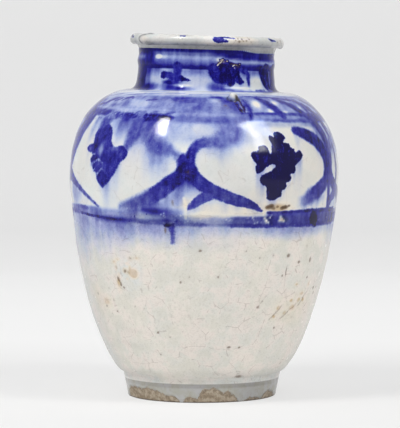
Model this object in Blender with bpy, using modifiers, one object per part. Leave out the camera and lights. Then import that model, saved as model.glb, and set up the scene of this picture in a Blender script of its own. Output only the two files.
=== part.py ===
"""A baluster storage jar in glazed fritware, as the five thrown sections that its potter luted together.

Metres, +Z up. The jar stands on its foot ring at z = 0, and the origin lies under the middle of the belly.
Every section is turned from one outline of (radius, height) points about the jar's axis. Where two sections
meet, the lower one carries a low ridge and the upper one a groove over it, with a film of slip between them.
The finished jar is then leaned: its axis curves over to +X, and more sharply at the neck, as it did in firing.
"""

import math

import bmesh
import bpy
from mathutils import Vector

# The whole jar, measured up its axis
JAR_HEIGHT = 0.2498

# Foot ring
FOOT_HEIGHT = 0.0130
FOOT_RADIUS = 0.0514
FOOT_TOP_RADIUS = 0.0537
FOOT_WALL = 0.0095
FOOT_INNER_TAPER = 0.0012
FOOT_EDGE = 0.0014

# Lower body, from the foot up to the widest ring. It takes up the height that the other sections leave
WAIST_RADIUS = 0.0547
WAIST_HEIGHT = 0.0040
BELLY_RADIUS = 0.0933
BELLY_FULLNESS = 1.6
BELLY_ROUNDNESS = 0.68
FLOOR_THICKNESS = 0.0090
LOWER_WALL = 0.0085
GIRTH_WALL = 0.0068

# Upper body, from the widest ring to the seat of the neck
GIRTH_DROP = 0.0240
SHOULDER_RISE = 0.0580
SHOULDER_CROWN_RADIUS = 0.0500
SHOULDER_FULLNESS = 2.2
SHOULDER_WALL = 0.0062

# Neck
NECK_HEIGHT = 0.0284
NECK_RADIUS = 0.0478
NECK_WAIST = 0.0009
NECK_WALL = 0.0060
NECK_FLARE = 0.0064
NECK_FLARE_HEIGHT = 0.0062
NECK_STEP = 0.0006
NECK_CORD_SETBACK = 0.0070
NECK_CORD_WIDTH = 0.0045
NECK_CORD_PROUD = 0.0009

# Rim
RIM_HEIGHT = 0.0096
RIM_OVERHANG = 0.0053
RIM_ROLL = 0.0036
MOUTH_ROUND = 0.0016

# Luted joints
SLIP_FILM = 0.0003
KEY_WIDTH = 0.0024
KEY_HEIGHT = 0.0012

# Marks of throwing inside the walls
FINGER_PITCH = 0.0140
FINGER_DEPTH = 0.0005

# How far the jar is out of true
BODY_LEAN = math.radians(1.1)
NECK_LEAN = math.radians(0.6)
OUT_OF_ROUND = 0.0005
OVAL_DIRECTION = math.radians(35.0)

# Facets
SEGMENTS = 60
WALL_STEPS = 13
SHOULDER_STEPS = 12
FLARE_STEPS = 4
ROLL_STEPS = 7
MERGE_DISTANCE = 0.00001
SMOOTH_ANGLE = math.radians(40.0)

# Radii and heights that follow from the ones above
MOUTH_RADIUS = NECK_RADIUS - NECK_WALL
FLARE_RADIUS = NECK_RADIUS + NECK_FLARE
SEAT_SWELL = (FLARE_RADIUS - SHOULDER_CROWN_RADIUS) / (BELLY_RADIUS - SHOULDER_CROWN_RADIUS)
RIM_TOP_Z = JAR_HEIGHT
NECK_TOP_Z = RIM_TOP_Z - RIM_HEIGHT
SEAT_Z = NECK_TOP_Z - NECK_HEIGHT
BELLY_Z = SEAT_Z - SHOULDER_RISE * (1.0 - SEAT_SWELL**2) ** (1.0 / SHOULDER_FULLNESS)
WAIST_Z = FOOT_HEIGHT + WAIST_HEIGHT
BELLY_RISE = BELLY_Z - WAIST_Z
GIRTH_Z = BELLY_Z - GIRTH_DROP
FLOOR_Z = FOOT_HEIGHT + FLOOR_THICKNESS

GLAZED_WHITE = ("white_glaze", (0.79, 0.75, 0.69), 0.22)
GLAZED_BLUE = ("cobalt_painted_glaze", (0.42, 0.48, 0.70), 0.12)
GLAZED_NECK = ("cobalt_neck_glaze", (0.14, 0.16, 0.50), 0.12)
GLAZED_RIM = ("rim_glaze", (0.70, 0.70, 0.67), 0.18)
BARE_CLAY = ("foot_clay", (0.36, 0.29, 0.21), 0.75)


def clear_scene():
    """Takes out whatever the scene holds."""
    for thing in list(bpy.data.objects):
        bpy.data.objects.remove(thing, do_unlink=True)


def glaze_material(name, colour, roughness):
    """A plain Principled finish for one section."""
    material = bpy.data.materials.new(name)
    material.use_nodes = True
    shader = material.node_tree.nodes["Principled BSDF"]
    shader.inputs["Base Color"].default_value = (*colour, 1.0)
    shader.inputs["Roughness"].default_value = roughness
    shader.inputs["Metallic"].default_value = 0.0
    return material


def body_radius(z):
    """Outer radius of the body at height z: two superellipse quarters that meet at the widest ring."""
    if z <= BELLY_Z:
        drop = min(1.0, (BELLY_Z - z) / BELLY_RISE)
        swell = (1.0 - drop**BELLY_FULLNESS) ** BELLY_ROUNDNESS
        return WAIST_RADIUS + (BELLY_RADIUS - WAIST_RADIUS) * swell
    climb = min(1.0, (z - BELLY_Z) / SHOULDER_RISE)
    swell = math.sqrt(1.0 - climb**SHOULDER_FULLNESS)
    return SHOULDER_CROWN_RADIUS + (BELLY_RADIUS - SHOULDER_CROWN_RADIUS) * swell


def lower_outline():
    """Outer points of the lower body, girth to waist. They crowd towards the waist, where the wall turns in."""
    top = math.asin((BELLY_Z - GIRTH_Z) / BELLY_RISE)
    heights = [
        BELLY_Z - BELLY_RISE * math.sin(top + (math.pi / 2 - top) * step / WALL_STEPS)
        for step in range(WALL_STEPS + 1)
    ]
    return [(body_radius(z), z) for z in heights]


def upper_outline():
    """Outer points of the upper body, seat of the neck to girth."""
    top = math.asin((SEAT_Z - BELLY_Z) / SHOULDER_RISE)
    turns = [top * (1 - step / SHOULDER_STEPS) for step in range(SHOULDER_STEPS + 1)]
    heights = [BELLY_Z + SHOULDER_RISE * math.sin(turn) for turn in turns]
    return [(body_radius(z), z) for z in [*heights, (BELLY_Z + GIRTH_Z) / 2, GIRTH_Z]]


def inner_wall(low_z, high_z, low_wall, high_wall):
    """Points up the inside of a wall that follows the outer curve, with the finger ridges that throwing leaves."""
    count = max(2, round((high_z - low_z) / (FINGER_PITCH / 2)))
    points = []
    for step in range(count + 1):
        z = low_z + (high_z - low_z) * step / count
        rise = 0.0005
        slope = (body_radius(z + rise) - body_radius(z - rise)) / (2 * rise)
        length = math.hypot(1.0, slope)
        wall = low_wall + (high_wall - low_wall) * step / count
        wall += FINGER_DEPTH if 0 < step < count and step % 2 else 0.0
        points.append((body_radius(z) - wall / length, z + wall * slope / length))
    return points


def arc(centre_radius, centre_z, radius, start, end, steps):
    """Points on an arc in the outline's plane. Angles are in degrees from +radius towards +Z."""
    turns = [math.radians(start + (end - start) * step / steps) for step in range(steps + 1)]
    return [
        (centre_radius + radius * math.cos(turn), centre_z + radius * math.sin(turn))
        for turn in turns
    ]


def key(inner, outer, z):
    """The ridge or groove of a luted joint, from its inner side to its outer side, midway across the wall."""
    middle = (inner + outer) / 2
    return [
        (middle - KEY_WIDTH / 2, z),
        (middle, z + KEY_HEIGHT),
        (middle + KEY_WIDTH / 2, z),
    ]


def foot_ring_outline():
    """The ring that the jar stands on: slightly conical, worn round at the floor, ridged where the body sits."""
    inner_bottom = FOOT_RADIUS - FOOT_WALL
    inner_top = inner_bottom - FOOT_INNER_TAPER
    top = FOOT_HEIGHT - SLIP_FILM
    return [
        (FOOT_TOP_RADIUS, top),
        (FOOT_RADIUS, FOOT_EDGE),
        (FOOT_RADIUS - FOOT_EDGE * 0.3, FOOT_EDGE * 0.3),
        (FOOT_RADIUS - FOOT_EDGE, 0.0),
        (inner_bottom + FOOT_EDGE, 0.0),
        (inner_bottom, FOOT_EDGE),
        (inner_top, top),
        *key(inner_top, FOOT_TOP_RADIUS, top),
    ]


def lower_body_outline():
    """The thrown bowl: floor, wall up to the girth, and a flat underside that sits on the foot ring."""
    inner_top = body_radius(GIRTH_Z) - GIRTH_WALL
    top = GIRTH_Z - SLIP_FILM / 2
    foot_inner = FOOT_RADIUS - FOOT_WALL - FOOT_INNER_TAPER
    wall = [
        point
        for point in inner_wall(WAIST_Z, GIRTH_Z, LOWER_WALL, GIRTH_WALL)[:-1]
        if point[1] > FLOOR_Z + FINGER_DEPTH and point[1] < top - KEY_WIDTH
    ]
    corner = wall[0][0] - LOWER_WALL / 2
    return [
        (0.0, FLOOR_Z),
        (corner, FLOOR_Z),
        *wall,
        (inner_top, top),
        *key(inner_top, body_radius(GIRTH_Z), top),
        (body_radius(GIRTH_Z), top),
        *lower_outline()[1:],
        (FOOT_TOP_RADIUS, FOOT_HEIGHT),
        *reversed(key(foot_inner, FOOT_TOP_RADIUS, FOOT_HEIGHT)),
        (0.0, FOOT_HEIGHT),
    ]


def upper_body_outline():
    """The shoulder: from its groove over the girth to the flat seat that takes the neck."""
    inner_bottom = body_radius(GIRTH_Z) - GIRTH_WALL
    bottom = GIRTH_Z + SLIP_FILM / 2
    crown_z = SEAT_Z - SHOULDER_WALL
    wall = [
        point
        for point in inner_wall(GIRTH_Z, SEAT_Z, GIRTH_WALL, SHOULDER_WALL)[1:]
        if point[1] < crown_z and point[0] > MOUTH_RADIUS + SHOULDER_WALL
    ]
    return [
        *upper_outline()[:-1],
        (body_radius(GIRTH_Z), bottom),
        *reversed(key(inner_bottom, body_radius(GIRTH_Z), bottom)),
        (inner_bottom, bottom),
        *wall,
        (MOUTH_RADIUS + MOUTH_ROUND, crown_z),
        (MOUTH_RADIUS, crown_z + MOUTH_ROUND),
        (MOUTH_RADIUS, SEAT_Z),
        *key(MOUTH_RADIUS, FLARE_RADIUS, SEAT_Z),
    ]


def neck_outline():
    """The collar: a waisted cylinder on a coved flare, with a raised cord below the rim."""
    bottom = SEAT_Z + SLIP_FILM
    step_z = bottom + NECK_STEP
    flare_top = step_z + NECK_FLARE_HEIGHT
    cord_z = NECK_TOP_Z - NECK_CORD_SETBACK
    waist = NECK_RADIUS - NECK_WAIST
    flare = [
        (
            FLARE_RADIUS - NECK_FLARE * math.sin(turn),
            flare_top - NECK_FLARE_HEIGHT * math.cos(turn),
        )
        for turn in (math.pi / 2 * step / FLARE_STEPS for step in range(FLARE_STEPS + 1))
    ]
    return [
        (NECK_RADIUS, NECK_TOP_Z),
        (waist, NECK_TOP_Z - NECK_CORD_SETBACK / 2),
        (waist, cord_z + NECK_CORD_WIDTH / 2),
        (waist + NECK_CORD_PROUD, cord_z + NECK_CORD_WIDTH / 6),
        (waist + NECK_CORD_PROUD, cord_z - NECK_CORD_WIDTH / 6),
        (waist, cord_z - NECK_CORD_WIDTH / 2),
        ((waist + NECK_RADIUS) / 2, (cord_z + flare_top) / 2),
        *reversed(flare),
        (FLARE_RADIUS, bottom),
        *reversed(key(MOUTH_RADIUS, FLARE_RADIUS, bottom)),
        (MOUTH_RADIUS, bottom),
        (MOUTH_RADIUS, NECK_TOP_Z),
        *key(MOUTH_RADIUS, NECK_RADIUS, NECK_TOP_Z),
    ]


def rim_outline():
    """The everted lip: a fat roll that overhangs the neck, with a coved underside."""
    bottom = NECK_TOP_Z + SLIP_FILM
    roll_radius = NECK_RADIUS + RIM_OVERHANG - RIM_ROLL
    roll_z = RIM_TOP_Z - RIM_ROLL
    roll = arc(roll_radius, roll_z, RIM_ROLL, 90.0, -45.0, ROLL_STEPS)
    cove_radius = (roll[-1][0] + NECK_RADIUS) / 2
    return [
        *roll,
        (cove_radius, (roll[-1][1] + bottom) / 2 + RIM_ROLL / 8),
        (NECK_RADIUS, bottom + SLIP_FILM),
        (NECK_RADIUS, bottom),
        *reversed(key(MOUTH_RADIUS, NECK_RADIUS, bottom)),
        (MOUTH_RADIUS, bottom),
        *arc(
            MOUTH_RADIUS + MOUTH_ROUND,
            RIM_TOP_Z - MOUTH_ROUND,
            MOUTH_ROUND,
            180.0,
            90.0,
            3,
        ),
    ]


def smooth_share(z, low, high):
    """(share, area): how far z is along a smooth step from low to high, and the step's integral up to z."""
    along = min(1.0, max(0.0, (z - low) / (high - low)))
    share = along * along * (3 - 2 * along)
    area = (high - low) * (along**3 - along**4 / 2) + max(0.0, z - high)
    return share, area


def lean_at(z):
    """(angle, shift) of the jar's axis at height z. The foot stays flat on the floor."""
    body_share, body_area = smooth_share(z, 0.0, BELLY_Z)
    neck_share, neck_area = smooth_share(z, SEAT_Z - SHOULDER_WALL, SEAT_Z + NECK_FLARE_HEIGHT)
    angle = BODY_LEAN * body_share + NECK_LEAN * neck_share
    return angle, BODY_LEAN * body_area + NECK_LEAN * neck_area


def out_of_true(point):
    """Where a point of the true turned jar lies on the real one: a little oval, and leaning to +X."""
    bearing = math.atan2(point.y, point.x)
    swell = 1.0 + OUT_OF_ROUND / BELLY_RADIUS * math.cos(2 * (bearing - OVAL_DIRECTION))
    angle, shift = lean_at(point.z)
    x = point.x * swell
    return Vector(
        (
            x * math.cos(angle) + shift - lean_at(BELLY_Z)[1],
            point.y * swell,
            point.z - x * math.sin(angle),
        )
    )


def outline_object(name, outline, closed):
    """The outline as a line of edges in the XZ plane."""
    mesh = bpy.data.meshes.new(name + "_outline")
    shape = bmesh.new()
    points = [shape.verts.new((radius, 0.0, z)) for radius, z in outline]
    for first, second in zip(points, points[1:]):
        shape.edges.new((first, second))
    if closed:
        shape.edges.new((points[-1], points[0]))
    shape.to_mesh(mesh)
    shape.free()
    return bpy.data.objects.new(name, mesh)


def turned_section(name, outline, finish, collection):
    """One section: its outline turned about the axis with a Screw, then taken out of true."""
    on_axis = outline[0][0] == 0.0
    section = outline_object(name, outline, closed=not on_axis)
    collection.objects.link(section)
    turn = section.modifiers.new("Turn", "SCREW")
    turn.axis = "Z"
    turn.angle = 2 * math.pi
    turn.steps = SEGMENTS
    turn.render_steps = SEGMENTS
    turn.use_merge_vertices = True
    turn.merge_threshold = MERGE_DISTANCE
    bpy.context.view_layer.update()
    graph = bpy.context.evaluated_depsgraph_get()
    mesh = bpy.data.meshes.new_from_object(section.evaluated_get(graph))
    mesh.name = name
    for vertex in mesh.vertices:
        vertex.co = out_of_true(vertex.co)
    section.modifiers.clear()
    section.data = mesh
    mesh.materials.clear()
    mesh.materials.append(glaze_material(*finish))
    mesh.shade_smooth()
    mesh.set_sharp_from_angle(angle=SMOOTH_ANGLE)
    return section


def build_jar():
    """Makes the five sections, foot to rim, under one empty."""
    clear_scene()
    collection = bpy.data.collections.new("baluster_jar")
    bpy.context.scene.collection.children.link(collection)
    stand = bpy.data.objects.new("jar", None)
    collection.objects.link(stand)
    sections = (
        ("foot_ring", foot_ring_outline(), BARE_CLAY),
        ("lower_body", lower_body_outline(), GLAZED_WHITE),
        ("upper_body", upper_body_outline(), GLAZED_BLUE),
        ("neck", neck_outline(), GLAZED_NECK),
        ("rim", rim_outline(), GLAZED_RIM),
    )
    for name, outline, finish in sections:
        turned_section(name, outline, finish, collection).parent = stand


build_jar()
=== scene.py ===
"""A baluster jar in blue and white fritware, dressed over its five turned sections.

Each section is spun from a fine outline that follows the solid's own, then pushed in and out by throwing
rings, dents and chips, and leaned as the fired jar leans. The painting is laid on canvases that are unrolled
from the jar: columns are degrees round it, 0 at the front and growing to +X, and rows are millimetres up its
skin. The canvases give the finished skin its attributes, and the finishes turn those into cobalt, wash, stain
and clay. Part of the painting is painted shade, under the lip, down the jar's left side and at the foot, and
part is painted highlight on the neck.
"""

import functools
import math

import bmesh
import bpy
import numpy as np
from mathutils import Euler, Matrix


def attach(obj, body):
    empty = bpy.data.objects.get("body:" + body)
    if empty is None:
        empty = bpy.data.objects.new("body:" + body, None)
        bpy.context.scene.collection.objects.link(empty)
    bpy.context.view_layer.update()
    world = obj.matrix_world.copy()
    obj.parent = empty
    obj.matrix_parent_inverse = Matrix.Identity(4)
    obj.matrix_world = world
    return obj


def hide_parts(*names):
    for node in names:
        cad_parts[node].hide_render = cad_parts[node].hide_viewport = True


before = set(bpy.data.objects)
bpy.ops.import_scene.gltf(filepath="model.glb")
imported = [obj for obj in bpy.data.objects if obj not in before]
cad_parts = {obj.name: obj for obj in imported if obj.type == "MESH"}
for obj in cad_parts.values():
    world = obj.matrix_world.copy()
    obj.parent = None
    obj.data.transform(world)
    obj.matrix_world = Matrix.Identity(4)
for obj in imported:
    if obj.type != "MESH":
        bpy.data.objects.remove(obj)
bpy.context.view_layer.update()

bl_info = {
    "name": "Baluster Jar",
    "version": (1, 0, 0),
    "blender": (4, 5, 0),
    "location": "3D Viewport > Sidebar > Jar",
    "description": "Dresses a turned jar in cobalt painting and glaze",
    "category": "Mesh",
}

MM = 0.001

# The turned outlines, in metres, as the solids have them
FOOT_HEIGHT = 0.0130
FOOT_RADIUS = 0.0514
FOOT_TOP_RADIUS = 0.0537
FOOT_WALL = 0.0095
FOOT_INNER_TAPER = 0.0012
FOOT_EDGE = 0.0014
WAIST_RADIUS = 0.0547
WAIST_HEIGHT = 0.0040
BELLY_RADIUS = 0.0933
BELLY_FULLNESS = 1.6
BELLY_ROUNDNESS = 0.68
FLOOR_THICKNESS = 0.0090
LOWER_WALL = 0.0085
GIRTH_WALL = 0.0068
GIRTH_DROP = 0.0240
SHOULDER_RISE = 0.0580
SHOULDER_CROWN_RADIUS = 0.0500
SHOULDER_FULLNESS = 2.2
SHOULDER_WALL = 0.0062
JAR_HEIGHT = 0.2498
NECK_HEIGHT = 0.0284
NECK_RADIUS = 0.0478
NECK_WAIST = 0.0009
NECK_WALL = 0.0060
NECK_FLARE = 0.0064
NECK_FLARE_HEIGHT = 0.0062
NECK_STEP = 0.0009
NECK_CORD_PROUD = 0.0006
RIM_HEIGHT = 0.0096
RIM_OVERHANG = 0.0053
RIM_ROLL = 0.0036
MOUTH_ROUND = 0.0016
FINGER_PITCH = 0.0140
FINGER_DEPTH = 0.0005
BODY_LEAN = math.radians(1.1)
NECK_LEAN = math.radians(0.6)
OUT_OF_ROUND = 0.0005
OVAL_DIRECTION = math.radians(35.0)

# The blob of glaze at the head of the shoulder's drip
KNOB_HEIGHT = 0.0040

# The neck's soft cord: its crest above the seat, and the reach of its slopes above and below, in mm
CREST_Z = 19.6
CREST_SLOPE = 5.5
CREST_FALL = 4.5
COLLAR_SETBACK = 0.0006

# How sharply the neck's flare turns up, and where the lip's underside turns back to the neck
FLARE_POWER = 0.72
COVE_OVERHANG = 0.0009
COVE_DROP = 2.05 * RIM_ROLL

MOUTH_RADIUS = NECK_RADIUS - NECK_WALL
FLARE_RADIUS = NECK_RADIUS + NECK_FLARE
SEAT_SWELL = (FLARE_RADIUS - SHOULDER_CROWN_RADIUS) / (BELLY_RADIUS - SHOULDER_CROWN_RADIUS)
RIM_TOP_Z = JAR_HEIGHT
NECK_TOP_Z = RIM_TOP_Z - RIM_HEIGHT
SEAT_Z = NECK_TOP_Z - NECK_HEIGHT
BELLY_Z = SEAT_Z - SHOULDER_RISE * (1.0 - SEAT_SWELL**2) ** (1.0 / SHOULDER_FULLNESS)
WAIST_Z = FOOT_HEIGHT + WAIST_HEIGHT
BELLY_RISE = BELLY_Z - WAIST_Z
GIRTH_Z = BELLY_Z - GIRTH_DROP
FLOOR_Z = FOOT_HEIGHT + FLOOR_THICKNESS

# A section is spun as one wedge, and the wedge is repeated round the axis
WEDGES = 20

# Points along the skin of each section, along the inner walls, and along each half of body_table's curve
FOOT_ROWS = 44
LOWER_ROWS = 146
UPPER_ROWS = 148
NECK_ROWS = 140
RIM_ROWS = 96
LOWER_WALL_ROWS = 18
UPPER_WALL_ROWS = 14
FINE_ROWS = 4000

# Steps of the rounded corners, and the points of the neck's two curves
EDGE_STEPS = 5
MOUTH_STEPS = 6
ROLL_STEPS = 26
FLARE_POINTS = 24
COLLAR_POINTS = 80

# Where the lip's roll ends under the rim, in degrees from level
ROLL_END = -65.0

# Vertices closer than this become one, and faces that meet more sharply than this shade as an edge
MERGE_DISTANCE = 1e-6
SHARP_ANGLE = math.radians(55.0)

# How far outside a brush stroke the paint layers are still worked out, and how soft its edge is, in mm
STROKE_REACH = 4.0
UNPAINTED = -STROKE_REACH
STROKE_BLUR = 0.4

# How many round dots make a slit in the paint
SLIT_DOTS = 14

# How fast a patch fades from its middle, and how many of its half sizes away it ends
PATCH_FALL = 0.7
PATCH_REACH = 2.2

# Farther than any paint reaches, in mm, and a length too small to matter
FAR = 99.0
TINY = 1e-9

# About how many millimetres a degree is, round the jar
DEGREE_MM = 1.5

# The smooth noise: the mm where its lattice starts, the mm that it spans, and what brings it to about -1 to 1
DRIFT_START = -200.0
DRIFT_SPAN = 500.0
DRIFT_GAIN = 1.8


def length_setting(name, description, default):
    """A setting for a length."""
    return bpy.props.FloatProperty(name=name, description=description, default=default, unit="LENGTH")


def number_setting(name, description, default, subtype="NONE"):
    """A setting for a plain number or an angle."""
    return bpy.props.FloatProperty(name=name, description=description, default=default, subtype=subtype)


def colour_setting(name, description, default):
    """A setting for a colour."""
    return bpy.props.FloatVectorProperty(name=name, description=description, default=default, subtype="COLOR")


def count_setting(name, description, default):
    """A setting for how many faces go round a section."""
    return bpy.props.IntProperty(name=name, description=description, default=default, min=60, max=640)


class JarForm(bpy.types.PropertyGroup):
    """Fineness and relief of the sections."""

    columns: count_setting("Columns", "Faces round the body", 600)
    neck_columns: count_setting("Neck columns", "Faces round neck, rim and foot", 560)
    swell: length_setting("Swell", "Slow unevenness of the wall", 0.00030)
    hump: length_setting("Humps", "Hand-wide unevenness of the wall", 0.00012)
    ring_depth: length_setting("Throwing rings", "Depth of the rings left by throwing", 0.00005)


class JarColours(bpy.types.PropertyGroup):
    """Colours of glaze, cobalt and clay."""

    glaze: colour_setting("Glaze", "Clear glaze over white slip", (0.69, 0.69, 0.675))
    bowl_glaze: colour_setting("Bowl glaze", "Older, crackled glaze of the bowl", (0.79, 0.765, 0.71))
    cool_glaze: colour_setting("Cool glaze", "Glaze where it lies thick", (0.69, 0.72, 0.715))
    cream: colour_setting("Cream", "Glaze stained by the body", (0.78, 0.725, 0.63))
    rust: colour_setting("Rust", "Iron specks and burnt patches", (0.13, 0.075, 0.04))
    clay: colour_setting("Clay", "Bare body of the foot", (0.27, 0.21, 0.145))
    rim: colour_setting("Rim glaze", "Grey white glaze of the rim", (0.58, 0.575, 0.555))


class JarStage(bpy.types.PropertyGroup):
    """Camera and lights."""

    camera_distance: length_setting("Camera distance", "From the jar's axis", 1.95)
    camera_height: length_setting("Camera height", "Above the floor", 0.235)
    camera_tilt: number_setting("Camera tilt", "Downwards from level", math.radians(3.2), "ANGLE")
    sky: number_setting("Sky", "Strength of the plain sky", 0.33)
    sky_seen: number_setting("Sky seen", "How bright the sky looks", 0.50)
    key_power: number_setting("Key", "Power of the left light", 14.0)
    window_power: number_setting("Window", "Power of the right light", 8.0)
    fill_power: number_setting("Fill", "Power of the soft right light", 7.0)


def smoothstep(low, high, value):
    """0 below low, 1 above high, and a smooth rise between them."""
    along = np.clip((value - low) / (high - low), 0.0, 1.0)
    return along * along * (3.0 - 2.0 * along)


def bearing_gap(turns, middle):
    """How far bearings lie from a middle one, in degrees, the shorter way round."""
    return np.abs(np.mod(turns - middle + 180.0, 360.0) - 180.0)


def body_radius(z):
    """Outer radius of the body at height z: two superellipse quarters that meet at the widest ring."""
    drop = np.clip((BELLY_Z - z) / BELLY_RISE, 0.0, 1.0)
    below = WAIST_RADIUS + (BELLY_RADIUS - WAIST_RADIUS) * (1.0 - drop**BELLY_FULLNESS) ** BELLY_ROUNDNESS
    climb = np.clip((z - BELLY_Z) / SHOULDER_RISE, 0.0, 1.0)
    swell = np.sqrt(1.0 - climb**SHOULDER_FULLNESS)
    above = SHOULDER_CROWN_RADIUS + (BELLY_RADIUS - SHOULDER_CROWN_RADIUS) * swell
    return np.where(z <= BELLY_Z, below, above)


def lengths(outline):
    """Distance along an outline of (radius, z) points, from its first point, in millimetres."""
    steps = np.hypot(*np.diff(outline, axis=0).T)
    return np.concatenate([[0.0], np.cumsum(steps)]) / MM


@functools.cache
def body_table():
    """(mm above the widest ring, radius, z) up the body's skin, from foot to seat, in fine steps."""
    fine = np.sin(np.linspace(0.0, math.pi / 2, FINE_ROWS))
    below = BELLY_Z - BELLY_RISE * fine[::-1]
    above = BELLY_Z + (SEAT_Z - BELLY_Z) * np.linspace(0.0, 1.0, FINE_ROWS)[1:]
    z = np.concatenate([[FOOT_HEIGHT], below, above])
    radius = np.concatenate([[FOOT_TOP_RADIUS], body_radius(z[1:])])
    along = lengths(np.column_stack([radius, z]))
    along -= np.interp(BELLY_Z, z, along)
    return along, radius, z


BODY_LOW = body_table()[0][0]
BODY_HIGH = body_table()[0][-1]
GIRTH_MM = float(np.interp(GIRTH_Z, body_table()[2], body_table()[0]))


def drift(turns, heights, cell, seed, radius=BELLY_RADIUS):
    """Smooth noise about zero, seamless round the jar. Cell is its features' size in mm, round and up."""
    around = max(4, round(2 * math.pi * radius / MM / cell[0]))
    rows = int(DRIFT_SPAN / cell[1]) + 4
    lattice = np.random.default_rng(seed).uniform(-1.0, 1.0, (rows, around))
    x = np.mod(turns / 360.0, 1.0) * around
    y = (heights - DRIFT_START) / cell[1]
    column = np.floor(x).astype(int)
    row = np.clip(np.floor(y).astype(int), 1, rows - 3)
    total = np.zeros(np.broadcast(turns, heights).shape)
    for up, up_weight in enumerate(spline_weights(y - row), -1):
        for across, across_weight in enumerate(spline_weights(x - column), -1):
            total = total + up_weight * across_weight * lattice[row + up, (column + across) % around]
    return total * DRIFT_GAIN


def spline_weights(along):
    """Weights of the four lattice values about a point, for a smooth cubic blend."""
    return (
        (1 - along) ** 3 / 6,
        (3 * along**3 - 6 * along**2 + 4) / 6,
        (-3 * along**3 + 3 * along**2 + 3 * along + 1) / 6,
        along**3 / 6,
    )


def smooth_count(pair, spacing=0.9):
    """How many points smooth_curve puts between two given points."""
    reach = math.hypot((pair[1][0] - pair[0][0]) * DEGREE_MM, pair[1][1] - pair[0][1])
    return max(2, int(reach / spacing))


def smooth_curve(points, spacing=0.9):
    """A curve through given points, each a tuple of numbers that starts with degrees and millimetres."""
    points = np.array(points, float)
    if len(points) == 1:
        return points
    padded = np.vstack([2 * points[0] - points[1], points, 2 * points[-1] - points[-2]])
    curve = []
    for before, start, end, after in zip(padded, padded[1:], padded[2:], padded[3:]):
        count = smooth_count((start, end), spacing)
        for along in np.arange(count) / count:
            bend = 2 * start + (end - before) * along
            bend = bend + (2 * before - 5 * start + 4 * end - after) * along**2
            bend = bend + (3 * start - before - 3 * end + after) * along**3
            curve.append(bend / 2)
    return np.array([*curve, points[-1]])


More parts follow.
